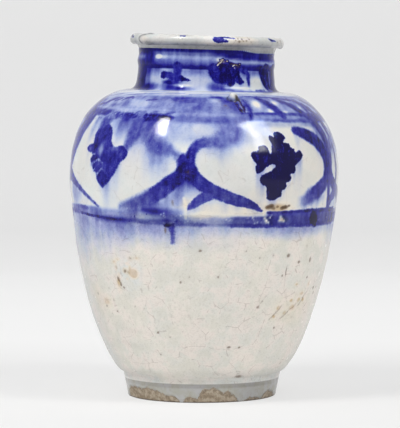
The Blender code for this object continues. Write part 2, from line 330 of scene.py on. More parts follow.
class Canvas:
    """A band of the jar's skin, unrolled. Each layer is an array with a row for each height.

    Its radius is one number, or a function of the heights.
    """

    def __init__(self, low, high, radius, column=0.5, row=0.25):
        self.column = column
        self.row = row
        self.low = low
        self.turns = np.arange(-180.0, 180.0, column)
        self.heights = np.arange(low, high + row, row)
        self.radius = (radius(self.heights) if callable(radius) else np.full(len(self.heights), radius)) / MM
        shape = (len(self.heights), len(self.turns))
        self.layers = {
            "inside": np.full(shape, UNPAINTED),
            "ink": np.zeros(shape),
            "blur": np.full(shape, STROKE_BLUR),
            "wash": np.zeros(shape),
            "warm": np.zeros(shape),
            "spot": np.zeros(shape),
            "shade": np.zeros(shape),
            "bare": np.full(shape, UNPAINTED),
        }

    def window(self, turn, height, reach):
        """Row and column numbers within reach of a point, and their offsets from it in millimetres."""
        middle = (height - self.low) / self.row
        first = max(0, int(middle - reach / self.row))
        last = min(len(self.heights), int(middle + reach / self.row) + 2)
        if first >= last:
            return None
        rows = np.arange(first, last)
        radius = float(np.interp(height, self.heights, self.radius))
        across = math.radians(self.column) * radius
        centre = (turn + 180.0) / self.column
        span = int(reach / across) + 1
        columns = np.arange(int(centre) - span, int(centre) + span + 2)
        x = (columns - centre) * across
        y = (rows - middle) * self.row
        return np.ix_(rows, columns % len(self.turns)), x[None, :], y[:, None], radius

    def near(self, start, end, reach):
        """(cells, along, away) about a straight piece: the share along it, and the millimetres from it."""
        found = self.window(start[0], start[1], reach)
        if found is None:
            return None
        cells, x, y, radius = found
        dx = math.radians(end[0] - start[0]) * radius
        dy = end[1] - start[1]
        along = np.clip((x * dx + y * dy) / max(dx * dx + dy * dy, TINY), 0.0, 1.0)
        return cells, along, np.hypot(x - dx * along, y - dy * along)

    def stroke(self, points, ink=1.0, blur=STROKE_BLUR, layer="inside"):
        """A brush stroke. Each point is (degrees, mm, half width in mm). Ink may be a pair, start and end."""
        curve = smooth_curve(points)
        start_ink, end_ink = ink if isinstance(ink, tuple) else (ink, ink)
        pieces = list(zip(curve, curve[1:])) or [(curve[0], curve[0])]
        for number, (start, end) in enumerate(pieces):
            found = self.near(start, end, max(start[2], end[2]) + STROKE_REACH + 1.0)
            if found is None:
                continue
            cells, along, away = found
            depth = start[2] + (end[2] - start[2]) * along - away
            deeper = depth > self.layers[layer][cells]
            self.layers[layer][cells] = np.where(deeper, depth, self.layers[layer][cells])
            if layer == "inside":
                share = number / max(1, len(pieces) - 1)
                amount = start_ink + (end_ink - start_ink) * share
                self.layers["ink"][cells] = np.where(deeper, amount, self.layers["ink"][cells])
                self.layers["blur"][cells] = np.where(deeper, blur, self.layers["blur"][cells])

    def blot(self, points, ink, blur=STROKE_BLUR):
        """A filled shape inside a closed smooth outline of (degrees, mm) points."""
        ring = np.array([points[-1], *points, points[0], points[1]], float)
        curve = smooth_curve(ring)[smooth_count(ring[:2]) : -smooth_count(ring[-2:])]
        middle = curve.mean(axis=0)
        radius = float(np.interp(middle[1], self.heights, self.radius))
        spread = np.abs(curve - middle) * (math.radians(radius), 1.0)
        found = self.window(middle[0], middle[1], float(spread.max()) + STROKE_REACH)
        cells, x, y, radius = found
        corners = np.column_stack([np.radians(curve[:, 0] - middle[0]) * radius, curve[:, 1] - middle[1]])
        away = np.full(np.broadcast(x, y).shape, FAR)
        within = np.zeros(away.shape, bool)
        for start, end in zip(corners, np.roll(corners, -1, axis=0)):
            step = end - start
            along = (x - start[0]) * step[0] + (y - start[1]) * step[1]
            along = np.clip(along / max(step @ step, TINY), 0.0, 1.0)
            away = np.minimum(away, np.hypot(x - start[0] - step[0] * along, y - start[1] - step[1] * along))
            if start[1] != end[1]:
                crossing = (start[1] > y) != (end[1] > y)
                right = x < start[0] + (y - start[1]) * step[0] / step[1]
                within ^= crossing & right
        depth = np.where(within, away, -away)
        deeper = depth > self.layers["inside"][cells]
        for layer, value in (("inside", depth), ("ink", ink), ("blur", blur)):
            self.layers[layer][cells] = np.where(deeper, value, self.layers[layer][cells])

    def patch(self, turn, height, wide, tall, amount, layer="wash", power=2.0):
        """A soft patch, added to a layer. Wide and tall are its half sizes in mm."""
        found = self.window(turn, height, max(wide, tall) * PATCH_REACH)
        if found is None:
            return
        cells, x, y, _ = found
        distance = np.hypot(x / wide, y / tall)
        self.layers[layer][cells] += amount * np.exp(-PATCH_FALL * distance**power)

    def patches(self, rows, layer="wash", turn=0.0):
        """Patches, moved round the jar by a turn. A row may end in its power."""
        for bearing, height, wide, tall, amount, *power in rows:
            self.patch(bearing + turn, height, wide, tall, amount, layer, *power)

    def between(self, start, end, fade):
        """For each column: 1 between two bearings, with soft ends, and 0 elsewhere."""
        if end - start >= 360.0:
            return np.ones_like(self.turns)
        half = (end - start) / 2
        return 1.0 - smoothstep(half - fade, half + fade, bearing_gap(self.turns, (start + end) / 2))

    def band(self, low, high, soft, amount, start=-180.0, end=180.0, fade=4.0, layer="wash"):
        """A soft band between two heights, from one bearing to another, added to a layer."""
        up = smoothstep(low - soft, low + soft, self.heights)
        up = up - smoothstep(high - soft, high + soft, self.heights)
        self.layers[layer] += amount * up[:, None] * self.between(start, end, fade)[None, :]

    def bands(self, rows, layer="wash", turn=0.0):
        """Bands, moved round the jar by a turn. A row may end in its two bearings, and then in their fade."""
        for low, high, soft, amount, *part in rows:
            start, end, *fade = part or (-180.0, 180.0)
            self.band(low, high, soft, amount, start + turn, end + turn, *fade, layer=layer)

    def curtain(self, start, end, top, reach, amount, fade, seed, rough=1.0):
        """Colour that ran down from a height, in streaks as uneven as rough, and faded over reach mm."""
        coarse = drift(self.turns, np.zeros_like(self.turns), (7.0, 40.0), seed)
        fine = drift(self.turns, np.zeros_like(self.turns), (2.0, 40.0), seed + 500)
        streaks = np.clip(1.0 + rough * (0.34 * coarse + 0.20 * fine), 0.1, 1.8)
        strength = self.between(start, end, fade) * streaks
        length = reach * np.clip(1.0 + rough * (0.30 * coarse + 0.16 * fine), 0.3, 1.8)
        down = top - self.heights[:, None]
        run = smoothstep(-1.5, 1.5, down) * (1.0 - smoothstep(0.0, 1.0, down / (1.9 * length[None, :])))
        self.layers["wash"] += amount * strength[None, :] * run

    def curtains(self, rows, turn=0.0):
        """Curtains, moved round the jar by a turn."""
        for start, end, *rest in rows:
            self.curtain(start + turn, end + turn, *rest)

    def line(self, points, width, amount, layer="spot"):
        """A thin soft line through (degrees, mm) points, added to a layer."""
        curve = smooth_curve(points)
        nearest = np.full(self.layers[layer].shape, FAR)
        for start, end in zip(curve, curve[1:]):
            found = self.near(start, end, 3.0 * width + 2.0)
            if found:
                cells, _, away = found
                nearest[cells] = np.minimum(nearest[cells], away)
        self.layers[layer] += amount * np.exp(-((nearest / width) ** 2))

    def lines(self, rows, layer="spot"):
        """Thin soft lines, each (points, width, amount)."""
        for points, width, amount in rows:
            self.line(points, width, amount, layer)

    def lift(self, turn, height, size):
        """Takes paint and wash off a round spot."""
        cells, x, y, _ = self.window(turn, height, size + 3.0)
        clear = np.hypot(x, y) - size
        self.layers["inside"][cells] = np.minimum(self.layers["inside"][cells], clear)
        self.layers["wash"][cells] *= smoothstep(-0.5, 0.8, clear)

    def unevenly(self, amount, seed):
        """Lets ink and wash lie unevenly: in brush streaks, in spots and in broad patches."""
        turns, heights = np.meshgrid(self.turns, self.heights)
        streaks = drift(turns, heights, (1.8, 11.0), seed)
        spots = drift(turns, heights, (3.2, 3.6), seed + 1)
        patches = drift(turns, heights, (15.0, 11.0), seed + 2)
        load = 1.0 + amount * (0.7 * streaks + 0.7 * spots + 0.6 * patches)
        self.layers["wash"] *= np.clip(load, 0.2, 1.8)
        self.layers["ink"] *= np.clip(1.0 + 0.32 * (load - 1.0), 0.7, 1.12)

    def bleed(self, reach, share, seed):
        """Lets strokes run: what lies under a stroke takes some of its colour, in uneven streaks."""
        rng = np.random.default_rng(seed)
        coarse = drift(self.turns, np.zeros_like(self.turns), (9.0, 40.0), seed)
        fine = drift(self.turns, np.zeros_like(self.turns), (2.2, 40.0), seed + 1)
        strength = np.clip(0.75 + 0.55 * coarse + 0.45 * fine, 0.05, 1.7)
        run = reach * np.clip(1.0 + 0.6 * rng.standard_normal(1)[0] * coarse, 0.5, 1.6)
        paint = smoothstep(-0.5, 0.5, self.layers["inside"]) * self.layers["ink"]
        carried = np.zeros(len(self.turns))
        keep = np.exp(-self.row / run)
        for number in range(len(self.heights) - 1, -1, -1):
            carried = carried * keep + paint[number] * (1.0 - keep)
            self.layers["wash"][number] += share * strength * carried

    def sample(self, layer, turns, heights):
        """A layer's value at each bearing and height, blended between cells."""
        values = self.layers[layer]
        x = np.mod(turns + 180.0, 360.0) / self.column
        y = np.clip((heights - self.low) / self.row, 0.0, len(self.heights) - 1.001)
        column = np.floor(x).astype(int) % len(self.turns)
        row = np.floor(y).astype(int)
        right = (column + 1) % len(self.turns)
        across = x - np.floor(x)
        up = y - row
        low = values[row, column] * (1 - across) + values[row, right] * across
        high = values[row + 1, column] * (1 - across) + values[row + 1, right] * across
        return low * (1 - up) + high * up


def turned_by(points, turn, wobble, seed):
    """Given points, moved round the jar by a turn and shaken by up to wobble millimetres."""
    if wobble == 0.0:
        return [(point[0] + turn, *point[1:]) for point in points]
    shake = np.random.default_rng(seed).uniform(-wobble, wobble, (len(points), 2))
    return [
        (point[0] + turn + offset[0] * 0.6, point[1] + offset[1], *point[2:])
        for point, offset in zip(points, shake)
    ]


def paint_all(canvas, strokes, turn=0.0, wobble=0.0, seed=0):
    """Lays (points, ink, blur) strokes on a canvas, turned round the jar."""
    for number, (points, ink, blur) in enumerate(strokes):
        canvas.stroke(turned_by(points, turn, wobble, seed + number), ink, blur)


# Outlines of the two flowers, given in degrees and mm, clockwise from their tops
LEFT_FLOWER = (
    (-50, 38), (-47, 34.5), (-45, 31), (-44, 26), (-43, 21.5), (-41, 20), (-38.5, 21), (-35.5, 20.4),
    (-34, 17), (-34.3, 14), (-36, 11.3), (-37.7, 9), (-38.4, 6.5), (-39.5, 4), (-40.5, 1), (-42, -1.4),
    (-43.2, -3.8), (-45, -6), (-47, -8.2), (-48.5, -6.5), (-50, -4.5), (-51, -1.5), (-51.4, 1.8),
    (-53, 2.8), (-54, 5.3), (-55, 8), (-55.7, 10), (-55.3, 12), (-54.3, 13.4), (-55.4, 15), (-57.4, 15.6),
    (-59.4, 17.4), (-59.4, 19.4), (-57.6, 20.9), (-55.6, 21.6), (-55.8, 24), (-56, 27), (-55.7, 30),
    (-54.4, 33), (-52.3, 36),
)
RIGHT_FLOWER = (
    (34, 33), (36.7, 30.6), (37.4, 28), (35.9, 25.4), (38.8, 24.4), (39.7, 21.7), (41.4, 20.9), (41.6, 18.6),
    (44.5, 19.6), (46, 16.8), (44.8, 13.4), (42, 10.3), (40.3, 8.3), (39.3, 4.7), (37.6, 2.3), (36.5, -1.3),
    (34.8, -5.3), (33.7, -9.3), (31.9, -12.4), (30.3, -13.8), (27.8, -13.4), (26.9, -12), (26.9, -9.3),
    (26.6, -4.4), (25.4, -3.8), (23.8, -0.8), (23.7, 2), (24.8, 3.8), (26.8, 4.6), (28.3, 5.5), (29.9, 7.4),
    (31, 9.1), (29.8, 10.6), (28.1, 10.1), (25.8, 7.5), (24.4, 5.3), (22.2, 4), (21.7, 6), (21.5, 8.8),
    (22, 10.6), (21.1, 12.4), (20.1, 14.5), (19.8, 17.4), (20.7, 19.2), (22.2, 19.2), (23.2, 20.3),
    (23.3, 22.4), (24.6, 23.1), (27, 22.9), (27.8, 21), (28.1, 18.8), (28.8, 17.3), (29.4, 18.2),
    (29.4, 21), (29.9, 24.2), (29.1, 26.5), (28.8, 29), (29.8, 30.6), (31.2, 29), (31.9, 32),
)


def paint_left_medallion(canvas, turn=0.0, wobble=0.0, seed=0):
    """A medallion with its leafy flower, open and smudged at the top right."""
    strokes = (
        (
            ((-67, 43, 5), (-71, 35, 8), (-74, 27, 8.8), (-76.5, 18, 8.4), (-80, 9, 7.4), (-83, 1, 6.4)),
            0.8, 1.6,
        ),
        (
            (
                (-79, 1, 5.6), (-72, -4.4, 3.2), (-66, -8.6, 2), (-60, -13, 1.5), (-54, -17.6, 1),
                (-50, -21, 0.6),
            ),
            0.74, 0.8,
        ),
        (((-32, 43, 4), (-32.4, 36, 4.2), (-33.2, 28, 3.8), (-34.8, 21, 2.8)), (0.62, 0.72), 2.8),
        (((-51, 43, 4.6), (-51.8, 37, 5), (-52, 30, 4.2)), (0.62, 0.8), 2.8),
        (
            ((-24, 25.5, 3.4), (-20.5, 22.4, 5), (-17, 20.2, 4.4), (-13.6, 18, 2.4), (-11, 15.2, 2)),
            0.62, 3.4,
        ),
        (((-20.5, 21.6, 2.2), (-17.6, 20.6, 2)), 0.74, 2.6),
        (((-17, 19.4, 1.3), (-14, 17.4, 1.5), (-11, 15.4, 1.6), (-8.6, 12.6, 2)), 0.82, 1.6),
        (((-9.4, 15.4, 1.8), (-8.8, 12.6, 4.2), (-8.2, 9, 4.9), (-7.8, 6, 5.2)), (0.74, 0.84), 1.4),
        (
            ((-7.8, 6, 5.2), (-10.5, 1.5, 4.9), (-14, -2.8, 5.1), (-17.5, -7.3, 5.3), (-21.5, -11.8, 5.1)),
            (0.9, 0.84), 1,
        ),
        (
            ((-21.5, -11.8, 5.1), (-25, -14.4, 4.7), (-29, -16.8, 4.1), (-33.5, -18.6, 3.2), (-37, -19.8, 2)),
            (0.76, 0.52), 2.3,
        ),
    )
    paint_all(canvas, strokes, turn, wobble, seed)
    canvas.blot(turned_by(LEFT_FLOWER, turn, wobble, seed + 30), 0.86, 0.8)
    for start, end, half_width in (
        ((-54.6, 7.4), (-50.2, 11.2), 0.6), ((-50.2, 11.2), (-47.2, 8.4), 0.5),
        ((-50.6, 0.8), (-47.8, 4.8), 0.6), ((-47.8, 4.8), (-45.4, 2.6), 0.5),
        ((-53.6, 2), (-52.2, 4.6), 0.4), ((-55.4, 13.6), (-53, 14.6), 0.3),
    ):
        lift_slit(canvas, (start[0] + turn, start[1]), (end[0] + turn, end[1]), half_width)
    canvas.line(((-54.6 + turn, 7.4), (-50.2 + turn, 11.2), (-47.2 + turn, 8.4)), 1.8, 0.34, layer="wash")
    canvas.line(((-50.6 + turn, 0.8), (-47.8 + turn, 4.8), (-45.4 + turn, 2.6)), 1.8, 0.34, layer="wash")
    canvas.patches((
        (-49.4, 18, 2.6, 3.8, -0.5, 3), (-57, 17.6, 1.4, 1.4, -0.3), (-41, 18.6, 4, 1.6, -0.2),
        (-50, 7.5, 2.4, 1.6, -0.16), (-52.5, 11.5, 2.4, 1.6, 0.12), (-47, -1.5, 4, 3, 0.12),
        (-38, 13, 3.4, 4, -0.06), (-8, 9, 3.4, 4.4, 0.1), (-15, -4, 3, 3, 0.08),
    ), "ink", turn)
    canvas.curtains((
        (-61, -54, 42, 12, 0.34, 3, 103), (-49, -36, 43, 12, 0.48, 2, 101, 1.3),
        (-38, -17, 43, 16, 0.44, 5, 102, 0.6),
    ), turn)
    canvas.patch(-21 + turn, -20, 9, 4.6, 0.4, power=4)
    canvas.curtain(-25 + turn, -15 + turn, 22, 12, 0.3, 4, 104)
    canvas.patches((
        (-26, 33, 8, 8, 0.1), (-30, 22, 8, 9, 0.14), (-70, -13, 9, 8, 0.34, 4), (-13, -14, 8, 5, 0.2, 3),
    ), "wash", turn)


def paint_right_medallion(canvas, turn=0.0, wobble=0.0, seed=0, edge=True):
    """A medallion with its dark three-lobed flower. With an edge, it ends in lines down its right side."""
    strokes = (
        (
            ((12.5, 37, 3.2), (11.4, 32, 4.6), (8, 28.6, 4.2), (4, 26.2, 3.2), (0, 25, 3.2)),
            (0.54, 0.66), 2.6,
        ),
        (((0, 25, 3.2), (-3.4, 22.6, 3.3), (-5.4, 18, 3.2), (-6.4, 13.5, 3.6)), (0.7, 0.86), 1.2),
        (((-6.4, 13.5, 3.6), (-6.2, 8, 4.4), (-4.8, 2.5, 4.6)), 0.84, 1),
        (((-4.4, 21.6, 0.8), (-1.6, 24.4, 0.9), (0.6, 25.6, 0.6)), 0.86, 0.9),
        (((-4.6, 2.5, 4.6), (-1, -3, 4.4), (4, -7.8, 4.4), (10, -11.6, 4.2)), (0.82, 0.72), 0.7),
        (((10, -11.6, 4.2), (16, -14.6, 3.6), (21, -17.2, 2.4), (24.8, -20.8, 1)), (0.72, 0.84), 0.5),
        (((2, -10.5, 3.6), (-1.5, -13.6, 3.4), (-4.4, -17, 2.4), (-6.4, -19.6, 1)), 0.72, 0.7),
        (((44.4, 33.8, 3), (49.4, 31.6, 4.4), (56, 27.4, 5.2), (61.2, 21, 5.2)), 0.9, 1.2),
        (((61.2, 21, 5.2), (63.8, 13.7, 4.8), (64.2, 6, 4.6)), 0.86, 1.3),
        (((64.2, 6, 4.6), (62.4, -1, 4.9), (58.5, -5.8, 5.2), (53.6, -9.6, 5)), (0.86, 0.84), 1.3),
        (((53.6, -9.6, 5), (50, -12.4, 4.8), (47.8, -15.2, 3.8)), (0.82, 0.48), 2.6),
    )
    lines = (
        (
            ((62, 43, 4.4), (66, 32, 4.6), (68, 20, 4), (68, 8, 2.8), (66.4, -4, 2.2), (67.2, -21, 2.6)),
            0.84, 1,
        ),
        (
            (
                (72, 38, 2.6), (75.6, 22, 2.2), (76.4, 8, 2), (75.4, -5, 1.9), (71.6, -13.6, 1.9),
                (67, -19.6, 2),
            ),
            0.8, 0.8,
        ),
    )
    paint_all(canvas, strokes, turn, wobble, seed)
    if edge:
        paint_all(canvas, lines, turn, wobble, seed + 8)
    canvas.blot(turned_by(RIGHT_FLOWER, turn, wobble, seed + 30), 1.12, 0.45)
    for point in ((39.6, 7, 2.7), (37.2, 1.2, 2.7), (34.8, -4.2, 2.5), (33, -9.6, 1.8)):
        canvas.stroke(turned_by((point,), turn, wobble, seed + 30), 1.12, 0.5)
    canvas.patches(((22, -9, 16, 6, 0.12, 3), (5, 8, 13, 10, 0.09, 3)), "shade", turn)
    canvas.band(35.6, 40, 1.6, 0.12, 26 + turn, 58 + turn, 4, layer="shade")
    canvas.patch(24 + turn, -10, 12, 5, 0.2, layer="warm", power=3)
    canvas.patches(((25.5, 14, 3.4, 4, -0.06), (6, 29, 7, 4, -0.06)), "ink", turn)
    canvas.patch(11 + turn, 30, 9, 9, 0.18, power=3)
    canvas.curtains((
        (9, 15, 36, 15, 0.58, 3, 111), (-1, 9, 24, 7, 0.3, 4, 112), (45, 62, -11, 6, 0.44, 3, 113, 1.4),
    ), turn)
    canvas.bands(((36.4, 42, 1.8, 0.24, 26, 62, 4), (18, 44, 4, 0.44, 58, 72, 4)), "wash", turn)
    canvas.curtain(-11 + turn, -2 + turn, 0, 8, 0.46, 3, 114)


def lift_slit(canvas, start, end, half_width):
    """A slit that the brush left open in the paint, between two (degrees, mm) points."""
    for along in np.linspace(0.0, 1.0, SLIT_DOTS):
        turn = start[0] + (end[0] - start[0]) * along
        height = start[1] + (end[1] - start[1]) * along
        cells, x, y, _ = canvas.window(turn, height, half_width + 2.0)
        clear = np.hypot(x, y) - half_width
        canvas.layers["inside"][cells] = np.minimum(canvas.layers["inside"][cells], clear)


def paint_borders(canvas):
    """The lines over and under the medallions."""
    strokes = (
        (((-78, 47.5, 2), (-66, 46, 2.6), (-57, 45, 2.6), (-46, 44, 2.2)), 0.82, 1.9),
        (((-46, 44, 2.2), (-37, 43.6, 2.2), (-30, 43.3, 2.2)), (0.84, 0.95), 1.7),
        (((-30, 43.3, 2.2), (-24, 43, 2.5), (-19, 42.7, 2.2), (-15.5, 42.4, 0.8)), 1, 1.5),
        (((18, 47.4, 0.6), (30, 47.2, 0.9), (42, 46.8, 1.1), (54, 46, 1.3), (64, 45.5, 1.6)), 0.76, 0.9),
        (((33, 41.2, 0.8), (42, 41, 1.1), (52, 41, 1.3), (62, 41, 1.8)), 0.66, 1.2),
        (((-68, -22, 1.2), (-63, -22.3, 1.3), (-58, -22.6, 1.1)), 0.7, 0.9),
        (
            ((-65, -26.2, 0.9), (-56, -27.4, 1), (-49, -28, 0.9), (-42, -28.6, 0.8), (-36.5, -29, 0.4)),
            0.94, 0.4,
        ),
        (
            ((28, -21.9, 0.6), (40, -21.6, 0.9), (50, -21.2, 1.1), (60, -21.2, 1.4), (76, -21.4, 1.4)),
            0.92, 0.7,
        ),
        (((54.8, -25.4, 4.4), (55.4, -27.6, 4.4), (56.4, -29.8, 3.2)), 1.1, 1),
        (((12, -30.9, 0.9), (24, -31.2, 1), (38, -31.2, 1), (60, -31, 1.2), (76, -31, 1.2)), 0.8, 0.8),
        (((-30, -29.2, 1), (-20, -29.8, 1.1), (-10, -30.2, 1), (2, -30.6, 0.9)), 0.66, 1.1),
    )
    paint_all(canvas, strokes)
    rng = np.random.default_rng(61)
    for turn, height, size in rng.uniform((-78, 39.5, 0.5), (-15, 47.5, 1.3), (70, 3)):
        canvas.patch(turn, height, size * 1.6, size, 0.26)
    for turn, height, size in rng.uniform((-76, 40.5, 0), (-17, 45.5, 0.22), (46, 3)):
        canvas.lift(turn, height, size)
    canvas.bands((
        (39, 45, 1.8, 0.22, -18, 20), (41, 47.5, 1.2, 0.4, 18, 66), (40, 47, 1.4, 0.62, 64, 290, 3),
        (-27, -21, 1, 0.53, -78, -50), (-30, -22, 2, 0.38, -52, -34), (-29.5, -20.5, 2, 0.54, -34, -9, 5),
    ))
    canvas.patches(((-24, -26, 8, 3.6, -0.34, 3), (-14, -26.5, 8, 2.6, 0.1, 3)))
    canvas.band(-31, -24.8, 1.4, 0.34, -10, 14, 5)
    canvas.patches(((-1, -24.6, 7, 2.2, -0.22, 3), (9, -25, 4, 1.4, -0.16, 3)))
    canvas.bands((
        (-31.5, -24.6, 0.8, 0.62, 12, 29, 4), (-31.3, -21.3, 0.6, 0.77, 28, 76, 2),
        (-30.5, -21.5, 1, 0.6, 74, 281, 3),
    ))
    canvas.band(-31.3, -24, 1, 0.3, -34, 76, 6, layer="shade")
    for turn, height, size in rng.uniform((-34, -30, 0.1), (-4, -21.5, 0.42), (36, 3)):
        canvas.stroke([(turn, height, size)], 0.92, 0.4)
    for turn, height, size in rng.uniform((-20, -31, 0), (30, -22, 0.26), (60, 3)):
        canvas.lift(turn, height, size)
    canvas.lines((
        (((4, -8), (10, -12), (16, -15), (22, -18)), 3.4, 0.22), (((-26, -14.5), (-34, -19)), 4, 0.12),
    ), "shade")


def paint_shoulder(canvas):
    """The washed ground of the shoulder, with its pale lights, dark marks and slanting ribbons."""
    canvas.bands(((46, 67.5, 2, 0.27), (66, 78, 1.5, 0.1)))
    canvas.stroke(((-104, 74.8, 1.2), (-80, 74.8, 1.3), (-62, 75, 1.1), (-46, 75.2, 0.6)), (0.7, 0.4), 1)
    canvas.band(24, 44, 5, 0.27, -34, 17, 7)
    canvas.patch(22, 31, 13, 8, 0.1, power=4)
    canvas.band(38, 62, 4, 0.15, -14, 16, 8)
    canvas.patches((
        (-1, 34, 8, 4, -0.14, 3), (-37, 55.5, 10, 4.4, -0.26, 3), (-33, 48.8, 18, 1.2, -0.12, 4),
        (4.5, 60, 3.4, 2.6, -0.26),
    ))
    canvas.bands(((46, 66, 2, 0.03, 16, 84, 4), (46, 64, 3, 0.08, -90, -12, 8)))
    canvas.patch(-13, 62.5, 9, 2.2, 0.2)
    canvas.curtains((
        (-44, -12, 65, 15, 0.2, 6, 121), (-12, 18, 64, 19, 0.18, 6, 122), (18, 80, 66, 16, 0.24, 6, 123),
    ))
    canvas.patches((
        (-78, 52, 5, 2.4, 0.34), (-72, 57, 5, 2, 0.3), (-66, 53, 4.4, 2.4, 0.24), (-60, 59, 4.6, 1.8, 0.24),
        (-54, 52.5, 3.4, 1.6, 0.36), (-50, 61, 3.8, 1.8, 0.2), (-46.5, 55, 2.4, 3.4, 0.44),
        (-31, 59.4, 3.6, 1, 0.2), (-17, 60, 2, 1.4, 0.3), (-10, 58, 4, 1.4, 0.24),
        (6.5, 64, 4.4, 1.6, 0.56), (11, 59.5, 3, 2.4, 0.34), (-4, 52, 3.4, 3, 0.2), (15, 53, 3, 4.4, 0.3),
    ))
    leaves = (
        (((-72, 50.6, 0.7), (-69, 52.6, 1.2), (-65, 54, 1.3), (-62.6, 55.4, 0.6)), 0.78, 1),
        (((-64.6, 56, 0.6), (-61, 58, 1.2), (-57.6, 60.2, 1), (-55, 61.4, 0.5)), 0.8, 0.9),
        (((-57.4, 56.8, 0.5), (-54.6, 59, 0.8), (-52, 61.6, 0.6)), 0.7, 0.9),
        (((-51.6, 57.6, 0.6), (-50, 60.2, 1.2), (-47, 61.8, 1.2), (-44.8, 60.2, 0.7)), 0.84, 0.8),
        (((-34, 58.6, 0.5), (-31, 59.6, 0.9), (-27.6, 60, 0.4)), 0.78, 0.8),
        (((-12, 57.4, 0.4), (-8, 58.2, 0.7), (-4, 58, 0.4)), 0.62, 1),
        (((2, 63.4, 0.5), (6, 64.2, 1.1), (9.6, 63.4, 0.5)), 0.76, 0.9),
        (((-20, 61.4, 0.4), (-17, 60.6, 0.9), (-14.4, 61.2, 0.4)), 0.7, 0.9),
    )
    paint_all(canvas, leaves)
    for points, amount in (
        (((-56, 64), (-48, 66), (-38, 68.4), (-26, 70), (-14, 70.6)), 0.34),
        (((-76, 60.5), (-64, 65.5), (-52, 70), (-40, 72.6), (-26, 74)), 0.26),
        (((-10, 68.6), (4, 69.2), (18, 69.4), (34, 69.4), (52, 67.4), (68, 64.6)), 0.24),
        (((-90, 66), (-76, 70.4), (-64, 74.4), (-54, 76)), 0.4),
    ):
        canvas.line(points, 0.8, amount, layer="wash")
    # Painted shadow where the neck meets the shoulder on the left
    canvas.line(((-100, 70), (-84, 72.4), (-70, 75), (-58, 76.4)), 0.9, 0.3, layer="shade")
    ribbons = (
        ((31, 64.5, 1), (34, 60, 2.6), (36.6, 55, 3.4), (39, 49.5, 3), (41, 44, 1.8)),
        ((43, 63, 1.2), (48.5, 58.5, 2.6), (53, 53, 3.2), (57, 47.5, 3), (60, 43, 2.2)),
        ((56, 62, 1.2), (63, 57, 2.6), (68, 51, 3), (71, 45, 2.8)),
        ((70, 60, 1.2), (77, 54, 2.6), (83, 47, 3)),
        ((21.5, 60, 1.4), (22.4, 54, 1.9), (22.6, 48, 1.6), (22.2, 42.5, 0.8)),
    )
    for number in range(7):
        for ribbon in ribbons:
            if number and 41 * number + ribbon[0][0] > 280:
                continue
            canvas.stroke(turned_by(ribbon, 41 * number, 0.8 * bool(number), number), 0.86, 1.9)
    canvas.stroke([(23, 66.8, 0.5), (38, 65.4, 0.8), (50, 62.5, 1), (60, 59.6, 1.1)], (0.7, 0.88), 0.8)
    canvas.stroke([(60, 59.6, 1.1), (70, 50, 1.3), (76, 34, 1.3), (80, 22, 1.2)], (0.88, 0.8), 0.9)
    lights = (
        (28, 56.4, 2.6, 3.2, 0.66), (40.4, 57.6, 2.6, 2, 0.5), (44, 47.8, 2.2, 1.4, 0.46),
        (34.5, 49.6, 2, 1.8, 0.5), (52, 59, 1.8, 1.4, 0.35), (58, 52.6, 1.6, 1.6, 0.3),
    )
    for turn, height, wide, tall, amount in lights:
        canvas.patch(turn, height, wide, tall, -amount)
        canvas.patch(turn, height, wide, tall, -amount * 0.7, layer="ink")
        canvas.patch(turn, height, wide, tall, amount, layer="warm")
    canvas.patches((
        (7.4, 58.6, 1, 1.6, 0.4), (10.4, 54.6, 1.6, 1.2, 0.42), (12, 52, 1.2, 1.8, 0.3),
        (-30, 60.6, 2, 0.8, 0.2),
    ), "spot")
    canvas.stroke([(19, 59.6, 0.6), (19.6, 55, 0.9), (20, 51.4, 0.9), (19.8, 47.6, 0.5)], 0.98, 0.5)
    canvas.stroke([(16.4, 58.6, 0.6), (16.8, 54.6, 0.8), (17.6, 50.8, 0.8), (18.8, 47.2, 0.5)], 0.98, 0.5)
    canvas.lines((
        (((19, 59.6), (19.8, 54), (19.9, 48.4)), 0.6, 0.45),
        (((16.4, 58), (17, 53.4), (18.2, 48.6)), 0.5, 0.45),
    ))
    core = ((17.8, 58), (18.3, 54.2), (18.6, 50.6))
    lift_slit(canvas, core[0], core[1], 0.3)
    lift_slit(canvas, core[1], core[2], 0.25)
    canvas.line(core, 0.9, 0.24)
    canvas.line(core, 0.9, 0.2, layer="shade")
    canvas.lift(15.9, 62.6, 3)
    ring = (
        (12.6, 63.4), (12.4, 61.2), (14, 59.2), (16.4, 58.6), (18.8, 59.8), (19.4, 62), (18.4, 64.8),
        (15, 65.8),
    )
    for start in range(len(ring)):
        canvas.line((ring[start - 1], ring[start]), 0.8, 0.55, layer="shade")
        canvas.line((ring[start - 1], ring[start]), 0.6, 0.3)
    canvas.patch(17.4, 60.6, 1.1, 1, 1.2, layer="spot")
    canvas.patch(17.4, 60.6, 1.2, 1.1, 1.3, layer="shade")


def paint_wash_below(canvas):
    """What ran out of the lower border: a lavender wash that fades to the right."""
    for start, end, top, reach, amount, fade, seed in (
        (-104, -64, -24, 26, 0.3, 8, 131), (-68, -36, -27, 19, 0.4, 8, 132),
        (-40, -6, -28, 12, 0.44, 8, 133), (-10, 32, -30, 6, 0.26, 8, 134), (28, 60, -31, 6, 0.34, 6, 135),
        (58, 76, -31, 5, 0.2, 4, 136), (74, 150, -30, 12, 0.3, 8, 137), (150, 260, -30, 20, 0.34, 8, 138),
    ):
        canvas.curtain(start, end, top, reach, amount, fade, seed, 0.28)


